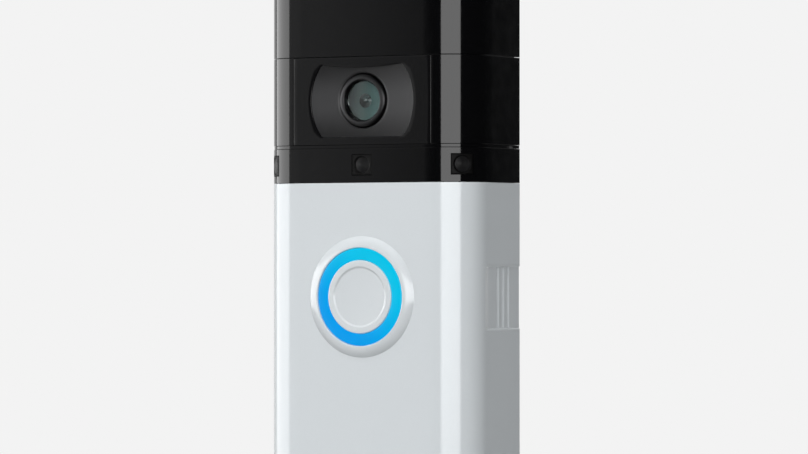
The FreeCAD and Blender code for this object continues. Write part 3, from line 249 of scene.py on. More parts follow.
def rounded(corners, radius, steps=5):
    """A profile whose corners are rounded: each corner becomes a quadratic curve between the points that
    lie one radius before and after it. radius is one number or one for each corner; the ends stay."""
    corners = np.asarray(corners, float)
    radius = np.broadcast_to(np.asarray(radius, float), len(corners)).copy()
    before, after = np.roll(corners, 1, axis=0) - corners, np.roll(corners, -1, axis=0) - corners
    on_axis = corners[[0, -1], 0] == 0
    if on_axis.all():
        radius[[0, -1]] = 0
    reach = np.minimum(np.linalg.norm(before, axis=1), np.linalg.norm(after, axis=1)) / 2
    radius = np.minimum(radius, reach)[:, None]
    start = corners + radius * before / np.linalg.norm(before, axis=1)[:, None]
    end = corners + radius * after / np.linalg.norm(after, axis=1)[:, None]
    t = np.linspace(0, 1, steps)[None, :, None]
    curve = (1 - t) ** 2 * start[:, None] + 2 * t * (1 - t) * corners[:, None] + t**2 * end[:, None]
    return curve.reshape(-1, 2)


def lathe(profile, centre, steps=160):
    """A profile of (radius, out) points turned about a line along out through centre = (across, up)."""
    profile = np.asarray(profile, float)
    angle = np.linspace(0, 2 * np.pi, steps, endpoint=False)
    closed = not (profile[[0, -1], 0] == 0).all()
    across = centre[0] + profile[:, :1] * np.cos(angle)
    up = centre[1] + profile[:, :1] * np.sin(angle)
    points = np.stack([across, np.broadcast_to(profile[:, 1:], across.shape), up], axis=-1)
    faces = lattice(len(profile), steps, around=True)
    if closed:
        last = np.arange((len(profile) - 1) * steps, len(profile) * steps)
        first = np.arange(steps)
        seam = np.stack([last, np.roll(last, -1), np.roll(first, -1), first], axis=1)
        faces = np.vstack([faces, seam])
    return points.reshape(-1, 3), faces


def lines(*stops, most=2.5):
    """Grid lines through every stop, with more between them so that none are further apart than most."""
    stops = sorted(set(np.round(stops, 5)))
    parts = [
        np.linspace(
            a, b, max(2, int(np.ceil((b - a) / most)) + 1)
        )[:-1] for a, b in zip(stops, stops[1:])
    ]
    return np.concatenate([*parts, [stops[-1]]])


def edge_lines(place, width=0.24, steps=6):
    """Close grid lines over a soft step at a place."""
    return list(place + np.linspace(-width / 2, width / 2, steps))


def soft_step(value, edge, width=0.24):
    """0 below the edge and 1 above it, with the S curve 3t^2 - 2t^3 over the width between."""
    t = np.clip((value - edge) / width + 0.5, 0, 1)
    return t * t * (3 - 2 * t)


# ---------------------------------------------------------------- the skins' own surface


def plan(side_lines, arc_lines, front_lines, corner):
    """The U of the skins seen from above, from the left back edge round the front to the right one.
    Gives each point's place and outward normal; a point set in by d lies at place - d * normal."""
    arc = np.asarray(arc_lines)
    side = np.asarray(side_lines)
    front = np.asarray(front_lines)
    centre = np.array([HALF - corner, FACE - corner])
    right_arc = centre + corner * np.stack([np.cos(arc), np.sin(arc)], axis=1)
    right_place = np.vstack([right_arc[::-1], np.stack([np.full(len(side), HALF), side[::-1]], axis=1)])
    right_normal = np.vstack(
        [np.stack([np.cos(arc), np.sin(arc)], axis=1)[::-1], np.tile([1.0, 0.0], (len(side), 1))]
    )
    front_place = np.stack([front, np.full(len(front), FACE)], axis=1)
    front_normal = np.tile([0.0, 1.0], (len(front), 1))
    mirror = np.array([-1.0, 1.0])
    place = np.vstack([right_place[::-1] * mirror, front_place, right_place])
    normal = np.vstack([right_normal[::-1] * mirror, front_normal, right_normal])
    return place, normal


def skin_rows(low, high, seam_round, rim_round, end_wall, closed, middle_lines):
    """Rows of a skin from bottom to top: (height, set-in, share gathered on the back edge, inner height).
    An open end is rounded over the seam radius. A closed end is rounded over the rim radius, and its flat
    face is gathered row by row onto the back edge."""
    turn = np.linspace(0, np.pi / 2, 7)
    rows = []
    for end, sign in ((low, 1), (high, -1)):
        radius = rim_round if closed == sign else seam_round
        ends = [
            (end + sign * radius * (1 - np.sin(t)), radius * (1 - np.cos(t)), 0.0)
            for t in turn[::-1]
        ]
        ends = [(h, d, q, end if closed != sign else end + sign * end_wall) for h, d, q in ends]
        if closed == sign:
            gather = [(end, radius, q, end + sign * end_wall) for q in np.linspace(1, 0, 13)[:-1]]
            outer_first = gather + ends
        else:
            outer_first = ends
        rows.append(outer_first)
    inner_low = low if closed != 1 else low + end_wall
    inner_high = high if closed != -1 else high - end_wall
    body = [(h, 0.0, 0.0, min(max(h, inner_low), inner_high)) for h in middle_lines]
    return np.array(rows[0] + body + rows[1][::-1])


def skin(low, high, columns, middle_lines, settings, closed=0, inset=0.0, depth=None, holes=()):
    """Outer and inner points of a skin and its faces. depth(across, out, up) is how far the outer face
    is set in at a point; a face whose middle lies in a hole's range of (column, height) is left out."""
    place, normal = columns
    rows = skin_rows(
        low,
        high,
        settings.seam_round * MM,
        settings.rim_round * MM,
        settings.floor_wall * MM,
        closed,
        middle_lines,
    )
    height, set_in, gathered, inner_height = (rows[:, k][:, None] for k in range(4))
    across = np.broadcast_to(place[None, :, 0], (len(rows), len(place)))
    out = np.broadcast_to(place[None, :, 1], across.shape)
    up = np.broadcast_to(height, across.shape)
    extra = np.zeros(across.shape) if depth is None else depth(across, out, up)
    set_in = set_in + inset + extra
    on_skin = place[None] - set_in[..., None] * normal[None]
    along = np.concatenate([[0], np.cumsum(np.linalg.norm(np.diff(place, axis=0), axis=1))])
    share = 2 * along / along[-1] - 1
    back_across = np.broadcast_to(share * (HALF - settings.rim_round * MM), across.shape)
    on_back = np.stack([back_across, np.full(across.shape, BACK)], axis=-1)
    flat = (1 - gathered)[..., None] * on_skin + gathered[..., None] * on_back
    outer = np.stack([flat[..., 0], flat[..., 1], up], axis=-1)
    inner_flat = place[None] - settings.skin * MM * normal[None]
    inner_back = np.stack(
        [share * (HALF - settings.skin * MM), np.full(len(share), BACK)], axis=-1
    )[None]
    inner_flat = (1 - gathered)[..., None] * inner_flat + gathered[..., None] * inner_back
    inner = np.stack(
        [inner_flat[..., 0], inner_flat[..., 1], np.broadcast_to(inner_height, across.shape)], axis=-1
    )
    faces = lattice(*across.shape)
    centre_across = across.reshape(-1)[faces].mean(axis=1)
    centre_out = out.reshape(-1)[faces].mean(axis=1)
    centre_up = up.reshape(-1)[faces].mean(axis=1)
    kept = np.ones(len(faces), bool)
    for is_hole in holes:
        kept &= ~is_hole(centre_across, centre_out, centre_up)
    return outer.reshape(-1, 3), inner.reshape(-1, 3), faces[kept]


def arc_lines(*stops):
    """Angles round a long corner, in radians, close enough for a smooth highlight."""
    return lines(0.0, *stops, np.pi / 2, most=np.radians(5))[1:-1]


# ---------------------------------------------------------------- materials


def add(tree, kind, inputs=None, **settings):
    """Adds a node. settings are its properties; inputs are values, or other nodes' outputs to link."""
    made = tree.nodes.new("ShaderNode" + kind)
    for name, value in settings.items():
        setattr(made, name, value)
    for name, value in (inputs or {}).items():
        if isinstance(value, bpy.types.NodeSocket):
            tree.links.new(value, made.inputs[name])
        else:
            made.inputs[name].default_value = value
    return made


def begin(name):
    """A new material with its tree cleared: gives the material, its tree and object coordinates."""
    material = bpy.data.materials.new(name)
    material.use_nodes = True
    material.node_tree.nodes.clear()
    coordinates = add(material.node_tree, "TexCoord").outputs["Object"]
    return material, material.node_tree, coordinates


def finish(material, shader):
    """Links a shader to the material's output and gives the material back."""
    add(material.node_tree, "OutputMaterial", {"Surface": shader.outputs[0]})
    return material


def rgba(colour):
    return (*colour, 1.0)


def mottled(tree, coordinates, size, colour, amount):
    """A colour that wanders by amount over patches of the given size in metres."""
    noise = add(tree, "TexNoise", {"Vector": coordinates, "Scale": 1 / size, "Detail": 3.0})
    share = add(
        tree, "MapRange", {"Value": noise.outputs["Fac"], "To Min": 1 - amount, "To Max": 1 + amount}
    )
    return add(
        tree, "VectorMath", {0: tuple(colour), 1: share.outputs["Result"]}, operation="MULTIPLY"
    ).outputs["Vector"]


def grain(tree, coordinates, size, height, detail=2.0):
    """A bump of fine grain, size and height in metres."""
    noise = add(tree, "TexNoise", {"Vector": coordinates, "Scale": 1 / size, "Detail": detail})
    return add(tree, "Bump", {"Height": noise.outputs["Fac"], "Distance": height, "Strength": 1.0})


def varied(tree, coordinates, size, low, high):
    """A roughness between low and high over patches of the given size in metres."""
    noise = add(tree, "TexNoise", {"Vector": coordinates, "Scale": 1 / size, "Detail": 4.0})
    return add(
        tree,
        "MapRange",
        {"Value": noise.outputs["Fac"], "From Min": 0.3, "From Max": 0.7, "To Min": low, "To Max": high},
    ).outputs["Result"]


def satin_painted_abs(name, colour, rough=(0.15, 0.16)):
    """Silver satin paint sprayed on moulded ABS: an even pale grey with a faint sparkle of flakes and
    soft-edged highlights."""
    material, tree, coordinates = begin(name)
    # Flakes are really some 0.03 mm across; they are drawn at 0.25 mm so that they show.
    flakes = add(tree, "TexVoronoi", {"Vector": coordinates, "Scale": 1 / 0.00025}, feature="F1")
    sparkle = add(tree, "MapRange", {"Value": flakes.outputs["Color"], "To Min": 0.992, "To Max": 1.008})
    base = mottled(tree, coordinates, 0.03, colour, 0.004)
    painted = add(tree, "VectorMath", {0: base, 1: sparkle.outputs["Result"]}, operation="MULTIPLY")
    bump = grain(tree, coordinates, 0.0006, 0.0000002)
    inputs = {
        "Base Color": painted.outputs["Vector"],
        "Metallic": 0.04,
        "Roughness": varied(tree, coordinates, 0.012, *rough),
        "IOR": 1.5,
        "Normal": bump.outputs["Normal"],
    }
    return finish(material, add(tree, "BsdfPrincipled", inputs))


def polished_black_polycarbonate(colour):
    """Black polycarbonate from a polished mould: deep black, mirror-like, with the faintest ripple."""
    material, tree, coordinates = begin("polished_black_polycarbonate")
    bump = grain(tree, coordinates, 0.009, 0.0000025, detail=0.0)
    inputs = {
        "Base Color": mottled(tree, coordinates, 0.012, colour, 0.05),
        "Roughness": varied(tree, coordinates, 0.003, 0.07, 0.10),
        "IOR": 1.46,
        "Normal": bump.outputs["Normal"],
    }
    return finish(material, add(tree, "BsdfPrincipled", inputs))


def textured_black_polycarbonate(name, colour, rough=(0.11, 0.13)):
    """Black polycarbonate from a lightly etched mould: black with a blurred reflection."""
    material, tree, coordinates = begin(name)
    bump = grain(tree, coordinates, 0.00018, 0.0000003)
    inputs = {
        "Base Color": mottled(tree, coordinates, 0.006, colour, 0.05),
        "Roughness": varied(tree, coordinates, 0.002, *rough),
        "IOR": 1.46,
        "Normal": bump.outputs["Normal"],
    }
    return finish(material, add(tree, "BsdfPrincipled", inputs))


def flat_black_frame():
    """Soft-touch black coating on the window frames: flat black, almost without reflection."""
    material, tree, coordinates = begin("soft_touch_black")
    inputs = {
        "Base Color": mottled(tree, coordinates, 0.003, linear("#080808"), 0.05),
        "Roughness": varied(tree, coordinates, 0.002, 0.5, 0.56),
        "IOR": 1.46,
        "Specular IOR Level": 0.2,
    }
    return finish(material, add(tree, "BsdfPrincipled", inputs))


def smoky_acrylic(colour, height):
    """Smoked acrylic dish that lets infrared through: dark grey and silky, with painted shade that darkens it
    towards its upper and lower edges and lightens it a little near the lens's level. height is the lens axis
    above the origin, in mm."""
    material, tree, coordinates = begin("smoky_acrylic")
    parts = add(tree, "SeparateXYZ", {"Vector": coordinates})
    level = add(tree, "Math", {0: parts.outputs["Z"], 1: height / 1000}, operation="SUBTRACT")
    away = add(tree, "Math", {0: level.outputs[0]}, operation="ABSOLUTE")
    # Painted shade: the colour is darkened to about a third towards the dish's upper and lower edges.
    share = add(
        tree,
        "MapRange",
        {
            "Value": away.outputs[0],
            "From Min": 0.001,
            "From Max": 0.0095,
            "To Min": 1.15,
            "To Max": 0.35,
        },
        interpolation_type="SMOOTHSTEP",
    )
    base = add(
        tree,
        "VectorMath",
        {0: mottled(tree, coordinates, 0.003, colour, 0.03), 1: share.outputs["Result"]},
        operation="MULTIPLY",
    )
    inputs = {
        "Base Color": base.outputs["Vector"],
        "Roughness": varied(tree, coordinates, 0.002, 0.30, 0.36),
        "IOR": 1.49,
        "Specular IOR Level": 0.3,
        "Normal": grain(tree, coordinates, 0.0002, 0.0000008).outputs["Normal"],
    }
    return finish(material, add(tree, "BsdfPrincipled", inputs))


def turned_metal(name, colour, centre, rough, groove=0.00018):
    """Metal turned on a lathe: fine rings about its own axis, which stretch the highlight across them."""
    material, tree, coordinates = begin(name)
    centred = add(
        tree, "Mapping", {"Vector": coordinates, "Location": (-centre[0] / 1000, 0, -centre[1] / 1000)}
    )
    flat = add(tree, "VectorMath", {0: centred.outputs["Vector"], 1: (1, 0, 1)}, operation="MULTIPLY")
    away = add(tree, "VectorMath", {0: flat.outputs["Vector"]}, operation="LENGTH")
    turns = add(tree, "Math", {0: away.outputs["Value"], 1: 2 * math.pi / groove}, operation="MULTIPLY")
    wave = add(tree, "Math", {0: turns.outputs[0]}, operation="SINE")
    bump = add(tree, "Bump", {"Height": wave.outputs[0], "Distance": 0.0000012, "Strength": 1.0})
    inputs = {
        "Base Color": mottled(tree, coordinates, 0.001, colour, 0.03),
        "Metallic": 1.0,
        "Roughness": rough,
        "Anisotropic": 0.4,
        "Normal": bump.outputs["Normal"],
    }
    return finish(material, add(tree, "BsdfPrincipled", inputs))


def coated_glass(name, tint, rough=0.02):
    """Polished optical glass with a coating: clear, with a faint tinted reflection."""
    material, tree, coordinates = begin(name)
    inputs = {
        "Base Color": rgba(tint),
        "Roughness": varied(tree, coordinates, 0.001, rough, rough + 0.01),
        "IOR": 1.52,
        "Transmission Weight": 1.0,
    }
    return finish(material, add(tree, "BsdfPrincipled", inputs))


def flat_black_baffle():
    """Grey anodised steps inside a lens: matt, tinted blue-green by the coatings in front, with painted shade
    that darkens them towards -X.
    """
    material, tree, coordinates = begin("flat_black_baffle")
    base = mottled(tree, coordinates, 0.001, linear("#6A807F"), 0.08)
    # Painted shade: the colour is kept whole from X = 3 mm and darkened to about an eighth by X = -4 mm.
    place = add(tree, "SeparateXYZ", {"Vector": coordinates})
    across = {
        "Value": place.outputs["X"], "From Min": -0.004, "From Max": 0.003, "To Min": 0.12, "To Max": 1.0
    }
    shade = add(tree, "MapRange", across)
    painted_shade_colour = add(tree, "VectorMath", {0: base, 1: shade.outputs["Result"]}, operation="MULTIPLY")
    inputs = {
        "Base Color": painted_shade_colour.outputs["Vector"],
        "Roughness": varied(tree, coordinates, 0.001, 0.34, 0.42),
        "IOR": 1.5,
    }
    return finish(material, add(tree, "BsdfPrincipled", inputs))


def coated_inner_lens():
    """An inner lens with its multi-layer coating: a dark curved mirror with a painted sheen, more blue-green
    where its face turns away from the view.
    """
    material, tree, coordinates = begin("coated_inner_lens")
    # Painted sheen: the colour gets lighter and more blue-green as the face turns away from the view.
    rim = add(tree, "LayerWeight", {"Blend": 0.35})
    painted_sheen = add(
        tree,
        "Mix",
        {"Factor": rim.outputs["Facing"], 6: rgba(linear("#101A1B")), 7: rgba(linear("#1E2F30"))},
        data_type="RGBA",
    )
    inputs = {
        "Base Color": painted_sheen.outputs[2],
        "Roughness": varied(tree, coordinates, 0.001, 0.05, 0.08),
        "IOR": 2.1,
    }
    return finish(material, add(tree, "BsdfPrincipled", inputs))


def milky_polyethylene(name, colour):
    """Polyethylene motion lens: waxy, a little see-through, with fine moulded rings."""
    material, tree, coordinates = begin(name)
    inputs = {
        "Base Color": mottled(tree, coordinates, 0.001, colour, 0.05),
        "Roughness": varied(tree, coordinates, 0.001, 0.34, 0.42),
        "IOR": 1.51,
        "Specular IOR Level": 0.25,
        "Subsurface Weight": 0.15,
        "Subsurface Scale": 0.0005,
    }
    return finish(material, add(tree, "BsdfPrincipled", inputs))


def lit_light_guide(high, low, centre):
    """Milky polycarbonate lit from behind by lamps: an even glow, blue at the lower left and cyan at the
    upper right."""
    material, tree, coordinates = begin("lit_light_guide")
    centred = add(
        tree, "Mapping", {"Vector": coordinates, "Location": (-centre[0] / 1000, 0, -centre[1] / 1000)}
    )
    slant = add(
        tree, "VectorMath", {0: centred.outputs["Vector"], 1: (0.62, 0, 0.78)}, operation="DOT_PRODUCT"
    )
    share = add(
        tree,
        "MapRange",
        {"Value": slant.outputs["Value"], "From Min": -0.011, "From Max": 0.011},
        interpolation_type="SMOOTHSTEP",
    )
    glow = add(
        tree, "Mix", {"Factor": share.outputs["Result"], 6: rgba(low), 7: rgba(high)}, data_type="RGBA"
    )
    body = add(tree, "VectorMath", {0: glow.outputs[2], 1: (0.12, 0.12, 0.12)}, operation="MULTIPLY")
    noise = add(tree, "TexNoise", {"Vector": coordinates, "Scale": 1 / 0.004, "Detail": 1.0})
    uneven = add(tree, "MapRange", {"Value": noise.outputs["Fac"], "To Min": 0.82, "To Max": 0.9})
    inputs = {
        "Base Color": body.outputs["Vector"],
        "Roughness": 0.28,
        "IOR": 1.58,
        "Specular IOR Level": 0.15,
        "Subsurface Weight": 0.2,
        "Subsurface Scale": 0.001,
        "Emission Color": glow.outputs[2],
        "Emission Strength": uneven.outputs["Result"],
    }
    return finish(material, add(tree, "BsdfPrincipled", inputs))


def spark_eroded_abs(name, colour):
    """Moulded ABS from a spark-eroded tool: matt black with an even fine grain."""
    material, tree, coordinates = begin(name)
    # The grain is really about 0.06 mm; it is drawn at 0.22 mm so that it shows.
    inputs = {
        "Base Color": mottled(tree, coordinates, 0.015, colour, 0.06),
        "Roughness": varied(tree, coordinates, 0.003, 0.48, 0.60),
        "IOR": 1.52,
        "Normal": grain(tree, coordinates, 0.00022, 0.000012, detail=4.0).outputs["Normal"],
    }
    return finish(material, add(tree, "BsdfPrincipled", inputs))


def soft_rubber(name, colour):
    """Moulded silicone rubber: matt, slightly dusty."""
    material, tree, coordinates = begin(name)
    inputs = {
        "Base Color": mottled(tree, coordinates, 0.004, colour, 0.15),
        "Roughness": varied(tree, coordinates, 0.004, 0.62, 0.78),
        "IOR": 1.43,
        "Normal": grain(tree, coordinates, 0.0004, 0.000008).outputs["Normal"],
    }
    return finish(material, add(tree, "BsdfPrincipled", inputs))


def plated_metal(name, colour, rough):
    """Plated metal, rolled or headed: bright, with small marks and an uneven sheen."""
    material, tree, coordinates = begin(name)
    inputs = {
        "Base Color": mottled(tree, coordinates, 0.0015, colour, 0.06),
        "Metallic": 1.0,
        "Roughness": varied(tree, coordinates, 0.0012, rough, rough + 0.12),
        "Normal": grain(tree, coordinates, 0.0003, 0.000003).outputs["Normal"],
    }
    return finish(material, add(tree, "BsdfPrincipled", inputs))


def laminate(name, colour):
    """Glass-cloth circuit board under solder mask: glossy, with the cloth's weave just showing."""
    material, tree, coordinates = begin(name)
    weave = add(tree, "TexWave", {"Vector": coordinates, "Scale": 1 / 0.0012 / 3, "Distortion": 0.4})
    bump = add(tree, "Bump", {"Height": weave.outputs["Fac"], "Distance": 0.000004, "Strength": 1.0})
    inputs = {
        "Base Color": mottled(tree, coordinates, 0.003, colour, 0.18),
        "Roughness": 0.3,
        "IOR": 1.55,
        "Normal": bump.outputs["Normal"],
    }
    return finish(material, add(tree, "BsdfPrincipled", inputs))


def moulded(name, colour, rough):
    """Plain moulded plastic of a small part."""
    material, tree, coordinates = begin(name)
    inputs = {
        "Base Color": mottled(tree, coordinates, 0.002, colour, 0.07),
        "Roughness": varied(tree, coordinates, 0.002, rough, rough + 0.1),
        "IOR": 1.5,
        "Normal": grain(tree, coordinates, 0.0002, 0.000002).outputs["Normal"],
    }
    return finish(material, add(tree, "BsdfPrincipled", inputs))


def woven_wire(name, colour):
    """Fine woven wire cloth: pale threads 0.6 mm apart, coarser than real ones so that they show."""
    material, tree, coordinates = begin(name)
    parts = add(tree, "SeparateXYZ", {"Vector": coordinates})
    threads = [
        add(
            tree,
            "Math",
            {
                0: add(
                    tree, "Math", {0: parts.outputs[axis], 1: 2 * math.pi / 0.0006}, operation="MULTIPLY"
                ).outputs[0],
            },
            operation="SINE",
        )
        for axis in ("Y", "Z")
    ]
    over = add(tree, "Math", {0: threads[0].outputs[0], 1: threads[1].outputs[0]}, operation="MAXIMUM")
    share = add(tree, "MapRange", {"Value": over.outputs[0], "From Min": -0.4, "From Max": 0.7})
    base = add(
        tree,
        "Mix",
        {"Factor": share.outputs["Result"], 6: rgba(linear("#6E7476")), 7: rgba(colour)},
        data_type="RGBA",
    )
    inputs = {
        "Base Color": base.outputs[2],
        "Metallic": 0.3,
        "Roughness": 0.4,
        "Normal": add(
            tree, "Bump", {"Height": over.outputs[0], "Distance": 0.00004, "Strength": 1.0}
        ).outputs["Normal"],
    }
    return finish(material, add(tree, "BsdfPrincipled", inputs))


# ---------------------------------------------------------------- operators


class DoorbellPiece:
    """Base of the operators below: gives them the settings."""

    bl_options = {"REGISTER", "UNDO"}

    def execute(self, context):
        self.build(context.scene.doorbell_sizes, context.scene.doorbell_colours)
        return {"FINISHED"}


def known(name, make, *values):
    """The material of that name, made on first use."""
    return bpy.data.materials.get(name) or make(*values)


class DOORBELL_OT_faceplate(DoorbellPiece, bpy.types.Operator):
    """Silver faceplate: a wrapped skin with the button's collar, sound recesses and slots"""

    bl_idname = "doorbell.faceplate"
    bl_label = "Faceplate"

    def build(self, sizes, colours):
        corner = sizes.corner_radius * MM
        low, high = PLATE_LOW[2], SPLIT - SEAM / 2
        reach = sizes.recess_reach * MM
        deep = sizes.recess_depth * MM
        tall = sizes.recess_height * MM / 2
        slot = sizes.slot_width * MM / 2
        middles = [GRILLE[1] - 0.75 + step * sizes.slot_pitch * MM for step in (-1, 0, 1)]
        slope_end, slope_depth = 0.4 * slot, 0.85
        # The step into the recess is soft over this far inside its edge; far stands for no slot near.
        step_in, far = 0.12, 9.0
        slot_edges = [m + place for m in middles for place in (-slot, slope_end, slot)]
        # Half the side of the square that holds the button's collar.
        patch = 19.0
        tangents = patch * np.tan(np.linspace(-np.pi / 4, np.pi / 4, 41))

        side_lines = lines(BACK, *slot_edges, *edge_lines(reach - step_in), reach, most=2.0)
        front_lines = lines(-HALF + corner, *tangents, HALF - corner, most=2.0)
        columns = plan(side_lines, arc_lines(), front_lines, corner)
        middle_lines = lines(
            low + sizes.rim_round * MM + 0.3,
            *(GRILLE[2] + side * (tall - inward) for side in (-1, 1) for inward in (0.2, 0.26)),
            *edge_lines(GRILLE[2] - tall),
            *edge_lines(GRILLE[2] + tall),
            *(BUTTON[1] + tangents),
            high - 0.5,
            most=2.5,
        )

        def recess(across, out, up):
            side = soft_step(-out, -(reach - step_in)) * on_side(across)
            floor = deep * side * soft_step(up, GRILLE[2] - tall) * soft_step(-up, -(GRILLE[2] + tall))
            along = np.min(
                [np.where(out - m < -slot - 0.001, far, out - m) for m in middles], axis=0
            ) + slot
            share = np.where(along < slot + slope_end + 0.001, along / (slot + slope_end), 0.0)
            inside = on_side(across) & (np.abs(up - GRILLE[2]) < tall - 0.23)
            return floor + slope_depth * share * inside

        def slots(across, out, up):
            near = np.any([(out > m + slope_end) & (out < m + slot) for m in middles], axis=0)
            return near & on_side(across) & (np.abs(up - GRILLE[2]) < tall - 0.2)

        def button_patch(across, out, up):
            inside = (np.abs(across - BUTTON[0]) < patch) & (np.abs(up - BUTTON[1]) < patch)
            return inside & on_front(out)

        outer, inner, faces = skin(
            low, high, columns, middle_lines, sizes, closed=1, depth=recess, holes=(slots, button_patch)
        )
        more_outer, more_inner, more_faces = self.collar(sizes, patch, tangents)
        faces = np.vstack([faces, more_faces + len(outer)])
        points, faces = wall(np.vstack([outer, more_outer]), np.vstack([inner, more_inner]), faces)
        paint = known("satin_painted_abs", satin_painted_abs, "satin_painted_abs", colours.silver)
        put("faceplate_skin", points, faces, paint, stands_for=("faceplate",))

    def collar(self, sizes, patch, tangents):
        """The square around the button. Rays run from the square's edge to the collar's foot, then over the
        collar: a circular arc that starts at 43 degrees and levels out to 4, and a small round into
        the hole."""
        ones = np.full(len(tangents) - 1, patch)
        step = tangents[:-1]
        square = np.concatenate(
            [
                np.stack([step, -ones], axis=1),
                np.stack([ones, step], axis=1),
                np.stack([-step, ones], axis=1),
                np.stack([-ones, -step], axis=1),
            ]
        )
        angle = np.arctan2(square[:, 1], square[:, 0])
        width = sizes.collar_width * MM
        rise = sizes.collar_rise * MM
        hole = self.hole_radius()
        foot = hole + width
        top_round = 0.16
        first, last = np.radians(43.0), np.radians(4.0)
        turn = np.linspace(first, last, 12)
        arc_width = np.sin(first) - np.sin(turn)
        arc_rise = np.cos(turn) - np.cos(first)
        arc_radius = foot - (width - top_round) * arc_width / arc_width[-1]
        arc_height = rise * arc_rise / arc_rise[-1]
        over = np.linspace(0, np.pi / 2, 5)[1:]
        round_radius = hole + top_round * (1 - np.sin(over))
        round_height = rise - top_round * (1 - np.cos(over))
        apron, toe, toe_rise = foot + 0.5, foot + 0.12, 0.015
        circle_radius = np.concatenate([np.array([apron, toe]), arc_radius, round_radius])
        circle_height = np.concatenate([[0.0, toe_rise], arc_height, round_height])
        circle = np.stack([np.cos(angle), np.sin(angle)], axis=1)
        rays = [square + (circle * apron - square) * t for t in (0.0, 0.35, 0.7)]
        rings = [circle * radius for radius in circle_radius]
        flat = np.stack(rays + rings)
        height = np.concatenate([np.zeros(len(rays)), circle_height])[:, None]
        across = BUTTON[0] + flat[..., 0]
        up = BUTTON[1] + flat[..., 1]
        outer = np.stack([across, np.broadcast_to(FACE + height, across.shape), up], axis=-1)
        inner = outer.copy()
        inner[..., 1] = FACE - sizes.skin * MM
        faces = lattice(*across.shape, around=True)
        return outer.reshape(-1, 3), inner.reshape(-1, 3), faces

    def hole_radius(self):
        """The collar's hole clears the light ring's visible part by 0.2 mm."""
        return half_width(RING_LOW, RING_HIGH) - RING_FLANGE + 0.2


class DOORBELL_OT_covers(DoorbellPiece, bpy.types.Operator):
    """Gloss black top cover, camera cover, trim band and sensor cover"""

    bl_idname = "doorbell.covers"
    bl_label = "Black covers"

    def build(self, sizes, colours):
        corner = sizes.corner_radius * MM
        black = known("polished_black_polycarbonate", polished_black_polycarbonate, colours.black)
        side_lines = lines(BACK, BACK + 0.3, FACE - corner, most=3.5)
        front_lines = lines(-HALF + corner, HALF - corner, most=3.0)
        plain = plan(side_lines, arc_lines(), front_lines, corner)

        low, high = TOP_LOW[2], TOP_HIGH[2]
        rows = lines(low + 0.5, high - sizes.rim_round * MM - 0.3)
        points, faces = wall(*skin(low, high, plain, rows, sizes, closed=-1))
        put("top_cover_skin", points, faces, black, stands_for=("top_cover",))

        low, high = COVER_LOW[2], COVER_HIGH[2] + REACH
        pocket = PANEL_HIGH[0] + 0.12
        eye = sizes.eye_radius * MM + 0.8
        eye_half = sizes.eye_half_height * MM + 0.8
        pocket_lines = lines(
            -HALF + corner,
            -pocket - 0.2,
            -pocket,
            -pocket + 0.03,
            -eye,
            eye,
            pocket - 0.03,
            pocket,
            pocket + 0.2,
            HALF - corner,
            most=3.0,
        )
        columns = plan(side_lines, arc_lines(), pocket_lines, corner)
        rows = lines(low + 0.5, LENS[1] - eye_half, LENS[1] + eye_half, high - 0.5)
        thick = PANEL_HIGH[1] - PANEL_LOW[1]

        def panel_pocket(across, out, up):
            return thick * (np.abs(across) < pocket - 0.02) * on_front(out)

        def eye_hole(across, out, up):
            return (np.abs(across) < eye) & (np.abs(up - LENS[1]) < eye_half) & on_front(out)

        points, faces = wall(
            *skin(low, high, columns, rows, sizes, depth=panel_pocket, holes=(eye_hole,))
        )
        put("camera_cover_skin", points, faces, black, stands_for=("camera_cover",))

        low, high = TRIM_LOW[2], TRIM_HIGH[2] + REACH
        inset = FACE - TRIM_HIGH[1]
        # The vent in each side of the band runs between these distances from the wall.
        vent_back, vent_front, vent_depth = 4.07, 16.93, 0.9
        vent_lines = lines(BACK, 4.0, 4.15, 16.85, 17.0, FACE - corner, most=3.5)
        columns = plan(vent_lines, arc_lines(), front_lines, corner)

        def vent(across, out, up):
            inside = soft_step(out, vent_back, 0.1) * soft_step(-out, -vent_front, 0.1)
            return vent_depth * on_side(across) * inside

        rows = np.array([(low + high) / 2])
        points, faces = wall(*skin(low, high, columns, rows, sizes, inset=inset, depth=vent))
        put("trim_band_skin", points, faces, black, stands_for=("trim_band",))

        low, high = STRIP_LOW[2], STRIP_HIGH[2] + REACH
        wide = sizes.window_half_width * MM + 0.08
        tall = sizes.window_half_height * MM + 0.08
        rise = LENSES_LOW[2] / 2 + LENSES_HIGH[2] / 2
        turn = np.arcsin(wide / corner)
        front = lines(-HALF + corner, -wide, wide, HALF - corner, most=3.0)
        columns = plan(side_lines, arc_lines(np.pi / 4 - turn, np.pi / 4 + turn), front, corner)
        rows = lines(low + 0.5, rise - tall, rise + tall, high - 0.5)

        def windows(across, out, up):
            slant = (np.abs(across) - (HALF - corner) - (out - (FACE - corner))) / math.sqrt(2)
            at_corner = (np.abs(slant) < wide) & (np.abs(across) > HALF - corner) & (out > FACE - corner)
            at_front = (np.abs(across) < wide) & on_front(out)
            return (np.abs(up - rise) < tall) & (at_corner | at_front)

        points, faces = wall(*skin(low, high, columns, rows, sizes, holes=(windows,)))
        put("sensor_cover_skin", points, faces, black, stands_for=("sensor_cover",))


def eye_outline(angle, radius, half_height, dip):
    """Distance from the lens to the eye's outline in each direction: a circle cut off below by a level line
    and above by a line that sags by dip at its middle, blended by a smooth minimum for round corners."""
    level = half_height / np.maximum(np.abs(np.sin(angle)), 1e-3)
    corner = math.sqrt(radius**2 - half_height**2)
    sagging = level.copy()
    for _ in range(6):
        reach = np.clip(np.abs(sagging * np.cos(angle)) / corner, 0, 1)
        sagging = (half_height - dip * (1 - reach**2)) / np.maximum(np.abs(np.sin(angle)), 1e-3)
    cut = np.where(np.sin(angle) > 0, sagging, level)
    sharpness = 4.0
    near = np.minimum(cut, radius)
    return near - np.log(
        np.exp(-sharpness * (cut - near)) + np.exp(-sharpness * (radius - near))
    ) / sharpness


